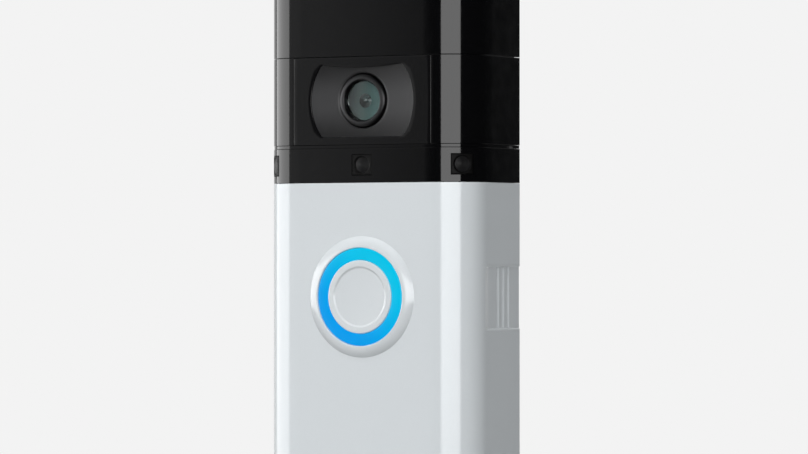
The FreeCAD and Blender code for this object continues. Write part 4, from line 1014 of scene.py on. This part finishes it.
class DOORBELL_OT_camera_panel(DoorbellPiece, bpy.types.Operator):
    """Finely textured plate around the camera, with its eye-shaped opening"""

    bl_idname = "doorbell.camera_panel"
    bl_label = "Camera panel"

    def build(self, sizes, colours):
        low, high = PANEL_LOW, PANEL_HIGH
        right, top, bottom = high[0] - LENS[0], high[2] - LENS[1], LENS[1] - low[2]
        corners = [
            math.atan2(top, right),
            math.atan2(top, -right),
            math.atan2(-bottom, -right),
            math.atan2(-bottom, right),
        ]
        angle = np.unique(np.round(np.concatenate([np.linspace(-np.pi, np.pi, 241)[:-1], corners]), 6))
        opening = eye_outline(
            angle, sizes.eye_radius * MM, sizes.eye_half_height * MM, sizes.eye_dip * MM
        )
        upward = np.where(np.sin(angle) > 0, top, bottom)
        edge = np.minimum(
            right / np.maximum(
                np.abs(np.cos(angle)), 1e-6
            ), upward / np.maximum(np.abs(np.sin(angle)), 1e-6)
        )
        turn = np.linspace(0, np.pi / 2, 6)
        soft = 0.12
        inner_rows = [(soft * (1 - np.sin(t)), soft * (1 - np.cos(t))) for t in turn[::-1]]
        shares = np.linspace(0, 1, 7)[1:-1]
        radius = [opening + away for away, deep in inner_rows]
        radius += [opening + soft + (edge - opening - 2 * soft) * share for share in shares]
        radius += [edge - away for away, deep in inner_rows[::-1]]
        deep = [deep for away, deep in inner_rows] + [0.0] * len(shares) + [
            deep for away, deep in inner_rows[::-1]
        ]
        radius, deep = np.array(radius), np.array(deep)[:, None]
        across = LENS[0] + radius * np.cos(angle)
        up = LENS[1] + radius * np.sin(angle)
        outer = np.stack([across, np.broadcast_to(FACE - deep, across.shape), up], axis=-1)
        inner = outer.copy()
        inner[..., 1] = low[1]
        faces = lattice(*across.shape, around=True)
        points, faces = wall(outer.reshape(-1, 3), inner.reshape(-1, 3), faces)
        black = known(
            "etched_black_polycarbonate",
            textured_black_polycarbonate,
            "etched_black_polycarbonate",
            colours.panel,
        )
        put("camera_panel_plate", points, faces, black, stands_for=("camera_panel",))


class DOORBELL_OT_lens_surround(DoorbellPiece, bpy.types.Operator):
    """Smoky dish between the camera panel and the lens ring"""

    bl_idname = "doorbell.lens_surround"
    bl_label = "Lens surround"

    def build(self, sizes, colours):
        angle = np.linspace(0, 2 * np.pi, 240, endpoint=False)
        eye, half_height = sizes.eye_radius * MM, sizes.eye_half_height * MM
        rim = eye_outline(angle, eye, half_height, sizes.eye_dip * MM) - 0.08
        overlap = 0.45
        flange = eye_outline(angle, eye + overlap, half_height + overlap, 0.0)
        hole = half_width(LENS_RING_LOW, LENS_RING_HIGH) + 0.2
        share = np.linspace(0, 1, 22)[:, None]
        radius = np.vstack([hole + (rim - hole) * share, rim, flange])
        bowl_depth, lip_depth, lip_width = 0.6, 0.25, 0.5
        bowl = bowl_depth * (1 - (radius / (eye + overlap)) ** 2)
        lip = lip_depth * np.clip((hole + lip_width - radius) / lip_width, 0, 1) ** 2
        across = LENS[0] + radius * np.cos(angle)
        up = LENS[1] + radius * np.sin(angle)
        # The dish lies just below the face. Its last two rows are the flange behind the panel.
        front = np.full(radius.shape, FACE - 0.12) - bowl - lip
        front[-2:] = SURROUND_HIGH[1] - 0.02
        outer = np.stack([across, front, up], axis=-1)
        inner = outer.copy()
        inner[..., 1] = SURROUND_LOW[1]
        faces = lattice(*across.shape, around=True)
        points, faces = wall(outer.reshape(-1, 3), inner.reshape(-1, 3), faces)
        put(
            "lens_surround_dish",
            points,
            faces,
            known("smoky_acrylic", smoky_acrylic, colours.dish, LENS[1]),
            stands_for=("lens_surround",),
        )


class DOORBELL_OT_lens(DoorbellPiece, bpy.types.Operator):
    """Turned lens ring, front glass, baffles and inner lenses"""

    bl_idname = "doorbell.lens"
    bl_label = "Lens"

    def build(self, sizes, colours):
        ring_radius = half_width(LENS_RING_LOW, LENS_RING_HIGH)
        glass = half_width(GLASS_LOW, GLASS_HIGH)
        back, front = LENS_RING_LOW[1], LENS_RING_HIGH[1]
        inner, seat, seat_depth = 6.1, glass + 0.12, 1.95
        profile = [
            (inner, back),
            (ring_radius, back),
            (ring_radius, front - 0.1),
            (glass + 0.5, front),
            (seat, front - 0.7),
            (seat, front - seat_depth),
            (inner, front - seat_depth),
        ]
        radii = [0.1, 0.1, 0.75, 0.25, 0.1, 0.1, 0.1]
        metal = turned_metal("anodised_grey_aluminium", linear("#3E3E3F"), LENS, 0.36)
        put(
            "lens_ring_turned",
            *lathe(rounded(profile, radii), LENS),
            metal,
            stands_for=("lens_ring",),
            sharp=50,
        )

        dome = GLASS_HIGH[1]
        # The front glass is a thin shell with a parabola for its bow.
        bow, thickness = 120.0, 0.25
        radius = np.linspace(0, glass, 16)
        curve = dome - 0.35 - radius**2 / (2 * bow)
        concave = curve - thickness
        profile = np.vstack(
            [np.stack([radius, curve], axis=1), np.stack([radius[::-1], concave[::-1]], axis=1)]
        )
        clear = coated_glass("coated_crown_glass", linear("#F2FBFA"))
        put("front_lens", *lathe(profile, LENS, 96), clear, stands_for=("lens_glasses",))

        # Fine steps run down a shallow cone from the glass to the inner lens.
        count, wide, deep = 9, 4.75, 0.8
        eye, foot, sleeve = 1.85, dome - 2.5, glass + 0.05
        tread = np.repeat(np.linspace(wide, eye, count + 1), 2)[1:]
        level = np.repeat(np.linspace(dome - deep, dome - deep - 0.3, count + 1), 2)[:-1]
        inside = np.stack([tread, level], axis=1)
        outside = np.array([(eye, foot), (sleeve, foot), (sleeve, dome - deep)])
        put("lens_baffles", *lathe(np.vstack([inside, outside]), LENS, 120), flat_black_baffle())

        # The inner lens is a dark shallow bowl with a small bead-like lens in its middle.
        bead, bead_radius, bowl_edge, floor = 0.6, 0.72, 1.84, dome - 2.4
        radius = np.linspace(0, bead, 10)
        hill = dome - 0.95 - (bead_radius - np.sqrt(bead_radius**2 - radius**2))
        slope = np.linspace(bead + 0.1, bowl_edge, 8)
        profile = np.vstack(
            [
                np.stack([radius, hill], axis=1),
                np.stack([slope, dome - 1.35 + 0.1 * slope], axis=1),
                [(bowl_edge, floor), (0.0, floor)],
            ]
        )
        put("inner_lens", *lathe(profile, LENS, 96), coated_inner_lens())


class DOORBELL_OT_motion_windows(DoorbellPiece, bpy.types.Operator):
    """Three motion windows with their ringed lenses"""

    bl_idname = "doorbell.motion_windows"
    bl_label = "Motion windows"

    def build(self, sizes, colours):
        corner = sizes.corner_radius * MM
        wide, tall = sizes.window_half_width * MM, sizes.window_half_height * MM
        rise = (LENSES_LOW[2] + LENSES_HIGH[2]) / 2
        dull = known("soft_touch_black", flat_black_frame)
        waxy = known("milky_polyethylene", milky_polyethylene, "milky_polyethylene", linear("#050506"))
        lens_radius, lens_foot, rings_per_mm = 1.95, 0.6, 3.2
        points, faces = [], []
        lens_points, lens_faces = [], []
        for direction in (-1, 0, 1):
            across = np.linspace(-wide, wide, 33)
            up = rise + np.linspace(-tall, tall, 27)
            a, u = np.meshgrid(across, up)
            bend = corner - np.sqrt(corner**2 - a**2) if direction else np.zeros(a.shape)
            edge = np.minimum(wide - np.abs(a), tall - np.abs(u - rise))
            bevel = 0.14 * np.clip(1 - edge / 0.2, 0, 1) ** 2
            away = np.hypot(a, u - rise)
            seat = 0.35 * soft_step(-away, -2.15, 0.3)
            outer = self.placed(direction, corner, a, bend + bevel + seat, u)
            inner = self.placed(direction, corner, a, bend + sizes.skin * MM, u)
            these, made = wall(outer, inner, lattice(*a.shape))
            faces.append(made + sum(len(p) for p in points))
            points.append(these)

            # Each lens is a shallow bowl with saw-tooth rings: radius squared, plus the share of a ring.
            radius = np.linspace(0, lens_radius, 40)
            ridges = 0.035 * np.mod(radius * rings_per_mm, 1.0)
            top = np.stack([radius, 0.16 + 0.03 * radius**2 + ridges], axis=1)
            profile = np.vstack([top, [(lens_radius, lens_foot), (0.0, lens_foot)]])
            turned, made = lathe(profile, (0.0, 0.0), 64)
            turned = self.placed(direction, corner, turned[:, 0], turned[:, 1], turned[:, 2] + rise)
            lens_faces.append(made + sum(len(p) for p in lens_points))
            lens_points.append(turned)
        put(
            "motion_window_frames",
            np.vstack(points),
            np.vstack(faces),
            dull,
            stands_for=("motion_windows",),
        )
        put(
            "motion_lens_discs",
            np.vstack(lens_points),
            np.vstack(lens_faces),
            waxy,
            stands_for=("motion_lenses",),
            sharp=60,
        )

    def placed(self, direction, corner, across, below, up):
        """Puts a flat layout on the front face or on a long corner: across it, below its top, and up."""
        across, below, up = (np.asarray(v, float).reshape(-1) for v in (across, below, up))
        if direction == 0:
            return np.stack([across, FACE - below, up], axis=1)
        half_turn = math.sqrt(0.5)
        out = (corner - below) * half_turn - across * half_turn * direction
        side = (corner - below) * half_turn * direction + across * half_turn
        return np.stack([direction * (HALF - corner) + side, FACE - corner + out, up], axis=1)


class DOORBELL_OT_light_ring(DoorbellPiece, bpy.types.Operator):
    """Glowing light ring around the button"""

    bl_idname = "doorbell.light_ring"
    bl_label = "Light ring"

    def build(self, sizes, colours):
        flange = half_width(RING_LOW, RING_HIGH)
        outer, inner = flange - RING_FLANGE, half_width(CAP_LOW, CAP_HIGH) - CAP_FLANGE + 0.15
        back, front = RING_LOW[1], RING_HIGH[1]
        flange_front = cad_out("front_housing") - 0.1
        profile = [
            (inner + 0.8, back + 0.65),
            (flange - 0.9, back + 0.65),
            (flange - 0.9, back),
            (flange, back),
            (flange, flange_front),
            (outer, flange_front),
            (outer, front - 0.03),
            (inner, front - 0.03),
            (inner, flange_front + 1.45),
            (inner + 0.8, flange_front + 1.45),
        ]
        radii = [0.05, 0.05, 0.05, 0.05, 0.1, 0.05, 0.22, 0.16, 0.05, 0.05]
        glow = lit_light_guide(colours.lamp_high, colours.lamp_low, BUTTON)
        put(
            "light_ring_guide",
            *lathe(rounded(profile, radii), BUTTON, 192),
            glow,
            stands_for=("light_ring",),
            sharp=40,
        )


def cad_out(name):
    """How far a CAD node reaches out from the wall, in mm."""
    return span(name)[1][1]


class DOORBELL_OT_button_cap(DoorbellPiece, bpy.types.Operator):
    """Silver button cap with its shallow dish"""

    bl_idname = "doorbell.button_cap"
    bl_label = "Button cap"

    def build(self, sizes, colours):
        flange = half_width(CAP_LOW, CAP_HIGH)
        radius = flange - CAP_FLANGE
        back, front = CAP_LOW[1], CAP_HIGH[1]
        dish, deep = sizes.dish_radius * MM, sizes.dish_depth * MM
        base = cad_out("front_housing")
        post = 1.5
        profile = [
            (0.0, front - deep),
            (dish - 0.25, front - deep),
            (dish + 0.12, front),
            (radius, front),
            (radius, base + 1.2),
            (flange, base + 1.2),
            (flange, base + 0.6),
            (post, base + 0.6),
            (post, back),
            (0.0, back),
        ]
        radii = [0, 0.3, 0.16, 0.26, 0.05, 0.05, 0.05, 0.05, 0.05, 0]
        paint = satin_painted_abs("satin_painted_cap", colours.cap_silver, (0.2, 0.21))
        put(
            "button_cap_turned",
            *lathe(rounded(profile, radii), BUTTON, 192),
            paint,
            body="button",
            stands_for=("button_cap",),
            sharp=50,
        )


class DOORBELL_OT_finishes(DoorbellPiece, bpy.types.Operator):
    """Gives every CAD piece that still shows its own material"""

    bl_idname = "doorbell.finishes"
    bl_label = "Finishes"

    def build(self, sizes, colours):
        brass = plated_metal("nickel_free_brass", linear("#C9A25A"), 0.22)
        steel = plated_metal("zinc_plated_steel", linear("#A9ABAD"), 0.28)
        tin = plated_metal("tinned_sheet", linear("#B8B9B6"), 0.34)
        copper = plated_metal("enamelled_copper", linear("#B8683C"), 0.3)
        grained = spark_eroded_abs("spark_eroded_abs", colours.housing)
        pack = spark_eroded_abs("grained_battery_abs", linear("#232427"))
        rubber = soft_rubber("black_silicone", linear("#151515"))
        mask = laminate("green_solder_mask", linear("#12402C"))
        amber = moulded("amber_polyimide", linear("#A5601C"), 0.25)
        black = moulded("moulded_epoxy", linear("#131314"), 0.4)
        baffle = moulded("matt_black_nylon", linear("#0D0D0E"), 0.5)
        orange = moulded("orange_acetal", linear("#E0641C"), 0.3)
        sleeve = moulded("blue_shrink_sleeve", linear("#1D5AA8"), 0.2)
        white = moulded("white_lamp_package", linear("#E8E6DC"), 0.3)
        wire = woven_wire("woven_wire_cloth", linear("#D8DEE0"))
        glass = coated_glass("filter_glass", linear("#CFE6E8"))
        groups = {
            brass: ("terminal_plates", "terminal_screws", "contact_pins", "battery_pads"),
            steel: ("case_screws", "board_screws", "security_screw", "speaker_magnet"),
            tin: ("shield_cans", "motion_sensors", "microphone"),
            copper: ("filter_coil", "antenna"),
            grained: (
                "front_housing",
                "rear_housing",
                "battery_bay",
                "camera_bracket",
                "camera_holder",
                "speaker_frame",
            ),
            pack: ("battery_case", "battery_lid", "battery_latch"),
            rubber: ("housing_seal", "button_wiper", "speaker_gasket"),
            mask: (
                "main_board",
                "button_board",
                "sensor_board",
                "motion_boards",
                "microphone_board",
                "infrared_board",
            ),
            amber: ("camera_ribbon", "button_ribbon"),
            black: ("board_chips", "board_connectors", "image_sensor", "board_switches"),
            baffle: ("lens_barrel", "filter_slider", "speaker_cone", "switch_stem"),
            orange: ("setup_button",),
            sleeve: ("battery_cells",),
            white: ("ring_leds", "infrared_lamps"),
            wire: ("speaker_mesh",),
            glass: ("filter_panes",),
        }
        for material, names in groups.items():
            for name in names:
                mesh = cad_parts[name].data
                mesh.materials.clear()
                mesh.materials.append(material)


class DOORBELL_OT_stage(DoorbellPiece, bpy.types.Operator):
    """Pale floor, soft panels, the camera and the world"""

    bl_idname = "doorbell.stage"
    bl_label = "Stage"

    def build(self, sizes, colours):
        self.floor(colours.backdrop)
        # Each panel: direction round from the doorbell's front and up from level in degrees, distance, width,
        # height and radiance. The key and the side fill give soft light only, without a reflection.
        self.panel("right_panel", 25.75, 4.6, 1.5, 1.61, 0.6, 3.8)
        self.panel("left_panel", -72.0, 4.6, 1.5, 1.73, 0.6, 3.2)
        self.panel("key_panel", 0.0, 54.0, 1.72, 1.2, 1.2, 5.6).visible_glossy = False
        self.panel("side_fill", 85.0, 10.0, 1.5, 1.0, 1.0, 1.6).visible_glossy = False
        self.world(colours.backdrop)
        self.camera()

    def floor(self, pale):
        """A wide round floor under the doorbell. Seen directly it is mostly its own pale colour, so that it
        meets the background, and the rest is lit, so that the shadow stays."""
        material, tree, coordinates = begin("pale_paper_floor")
        seen = add(tree, "LightPath")
        paper = add(
            tree, "BsdfDiffuse", {"Color": mottled(tree, coordinates, 0.05, linear("#A8A8A8"), 0.004)}
        )
        plain = add(tree, "Emission", {"Color": rgba(pale), "Strength": 1.0})
        away = add(tree, "VectorMath", {0: coordinates}, operation="LENGTH")
        fade = add(
            tree,
            "MapRange",
            {
                "Value": away.outputs["Value"],
                "From Min": 0.06,
                "From Max": 0.18,
                "To Min": 0.82,
                "To Max": 1.0,
            },
            interpolation_type="SMOOTHSTEP",
        )
        direct = add(
            tree, "Math", {
                0: seen.outputs["Is Camera Ray"], 1: fade.outputs["Result"]
            }, operation="MULTIPLY"
        )
        finish(
            material,
            add(tree, "MixShader", {0: direct.outputs[0], 1: paper.outputs[0], 2: plain.outputs[0]}),
        )
        angle = np.linspace(0, 2 * np.pi, 96, endpoint=False)
        level = cad_box[0][2]
        ring = np.stack([3.0 * np.cos(angle), 3.0 * np.sin(angle), np.full(96, level)], axis=1)
        mesh = bpy.data.meshes.new("floor")
        mesh.from_pydata(ring.tolist(), [], [list(range(96))])
        mesh.materials.append(material)
        floor = bpy.data.objects.new("floor", mesh)
        bpy.context.scene.collection.objects.link(floor)
        floor.visible_glossy = False

    def panel(self, name, direction, rise, distance, width, height, radiance):
        """A soft panel that faces the doorbell from a direction round from its front and up from level."""
        turn, lift = math.radians(direction), math.radians(rise)
        light = bpy.data.lights.new(name, "AREA")
        light.shape = "RECTANGLE"
        light.size, light.size_y = width, height
        light.energy = radiance * math.pi * width * height
        lamp = bpy.data.objects.new(name, light)
        level = distance * math.cos(lift)
        lamp.location = (level * math.sin(turn), -level * math.cos(turn), distance * math.sin(lift))
        lamp.rotation_euler = (math.pi / 2 - lift, 0, turn)
        lamp.visible_camera = False
        bpy.context.scene.collection.objects.link(lamp)
        return lamp

    def world(self, pale):
        """Pale to the camera all round. Reflections and clear parts see that backdrop behind the doorbell,
        and a dim room elsewhere, which also gives the little light between the panels."""
        world = bpy.data.worlds.new("studio")
        world.use_nodes = True
        tree = world.node_tree
        tree.nodes.clear()
        seen = add(tree, "LightPath")
        towards = add(tree, "TexCoord").outputs["Generated"]
        behind = (-math.sin(CAMERA_YAW), math.cos(CAMERA_YAW), 0.0)
        facing = add(tree, "VectorMath", {0: towards, 1: behind}, operation="DOT_PRODUCT")
        patch = add(
            tree,
            "MapRange",
            {"Value": facing.outputs["Value"], "From Min": 0.62, "From Max": 0.82},
            interpolation_type="SMOOTHSTEP",
        )
        reflected = add(
            tree, "Math", {
                0: seen.outputs["Is Glossy Ray"], 1: seen.outputs["Is Transmission Ray"]
            }, operation="MAXIMUM"
        )
        card_edge, card_blur = math.radians(-29.0), math.radians(3.5)
        aside = (-math.cos(card_edge), -math.sin(card_edge), 0.0)
        left_of = add(tree, "VectorMath", {0: towards, 1: aside}, operation="DOT_PRODUCT")
        card = add(
            tree,
            "MapRange",
            {"Value": left_of.outputs["Value"], "From Max": math.sin(card_blur), "To Max": 0.55},
            interpolation_type="SMOOTHSTEP",
        )
        pale_share = add(
            tree, "Math", {0: patch.outputs["Result"], 1: card.outputs["Result"]}, operation="MAXIMUM"
        )
        mirrored = add(
            tree, "Math", {0: reflected.outputs[0], 1: pale_share.outputs[0]}, operation="MULTIPLY"
        )
        share = add(
            tree, "Math", {0: mirrored.outputs[0], 1: seen.outputs["Is Camera Ray"]}, operation="MAXIMUM"
        )
        room = add(tree, "Background", {"Color": rgba(linear("#F3F9FF")), "Strength": 0.02})
        backdrop = add(tree, "Background", {"Color": rgba(pale), "Strength": 1.0})
        mixed = add(tree, "MixShader", {0: share.outputs[0], 1: room.outputs[0], 2: backdrop.outputs[0]})
        add(tree, "OutputWorld", {"Surface": mixed.outputs[0]})
        bpy.context.scene.world = world

    def camera(self):
        """A level long lens, 1.1 m from the face, turned 30.5 degrees towards the right side."""
        distance, aside, eye = 1.109, 0.01085, -0.00675
        data = bpy.data.cameras.new("camera")
        data.lens = 193.0
        data.sensor_width = 36.0
        data.shift_y = 0.042
        data.clip_end = 20.0
        right = np.array([math.cos(CAMERA_YAW), math.sin(CAMERA_YAW)])
        ahead = np.array([-math.sin(CAMERA_YAW), math.cos(CAMERA_YAW)])
        place = np.array([0.0, -FACE / 1000]) + aside * right - distance * ahead
        camera = bpy.data.objects.new("camera", data)
        camera.location = (place[0], place[1], eye)
        camera.rotation_euler = (math.pi / 2, 0, CAMERA_YAW)
        bpy.context.scene.collection.objects.link(camera)
        bpy.context.scene.camera = camera
        bpy.context.scene.view_settings.view_transform = "Standard"


OPERATORS = (
    DOORBELL_OT_stage,
    DOORBELL_OT_faceplate,
    DOORBELL_OT_covers,
    DOORBELL_OT_camera_panel,
    DOORBELL_OT_lens_surround,
    DOORBELL_OT_lens,
    DOORBELL_OT_motion_windows,
    DOORBELL_OT_light_ring,
    DOORBELL_OT_button_cap,
    DOORBELL_OT_finishes,
)


class DOORBELL_PT_panel(bpy.types.Panel):
    """Lists the doorbell's pieces and settings"""

    bl_label = "Video doorbell"
    bl_idname = "DOORBELL_PT_panel"
    bl_space_type = "VIEW_3D"
    bl_region_type = "UI"
    bl_category = "Doorbell"

    def draw(self, context):
        for operator in OPERATORS:
            self.layout.operator(operator.bl_idname)
        for settings in (context.scene.doorbell_sizes, context.scene.doorbell_colours):
            for name in settings.__annotations__:
                self.layout.prop(settings, name)


CLASSES = (DoorbellSizes, DoorbellColours, *OPERATORS, DOORBELL_PT_panel)


def register():
    for item in CLASSES:
        bpy.utils.register_class(item)
    bpy.types.Scene.doorbell_sizes = PointerProperty(type=DoorbellSizes)
    bpy.types.Scene.doorbell_colours = PointerProperty(type=DoorbellColours)


def unregister():
    del bpy.types.Scene.doorbell_colours
    del bpy.types.Scene.doorbell_sizes
    for item in reversed(CLASSES):
        bpy.utils.unregister_class(item)


def main():
    register()
    for operator in OPERATORS:
        group, name = operator.bl_idname.split(".")
        getattr(getattr(bpy.ops, group), name)()


if __name__ == "__main__":
    main()
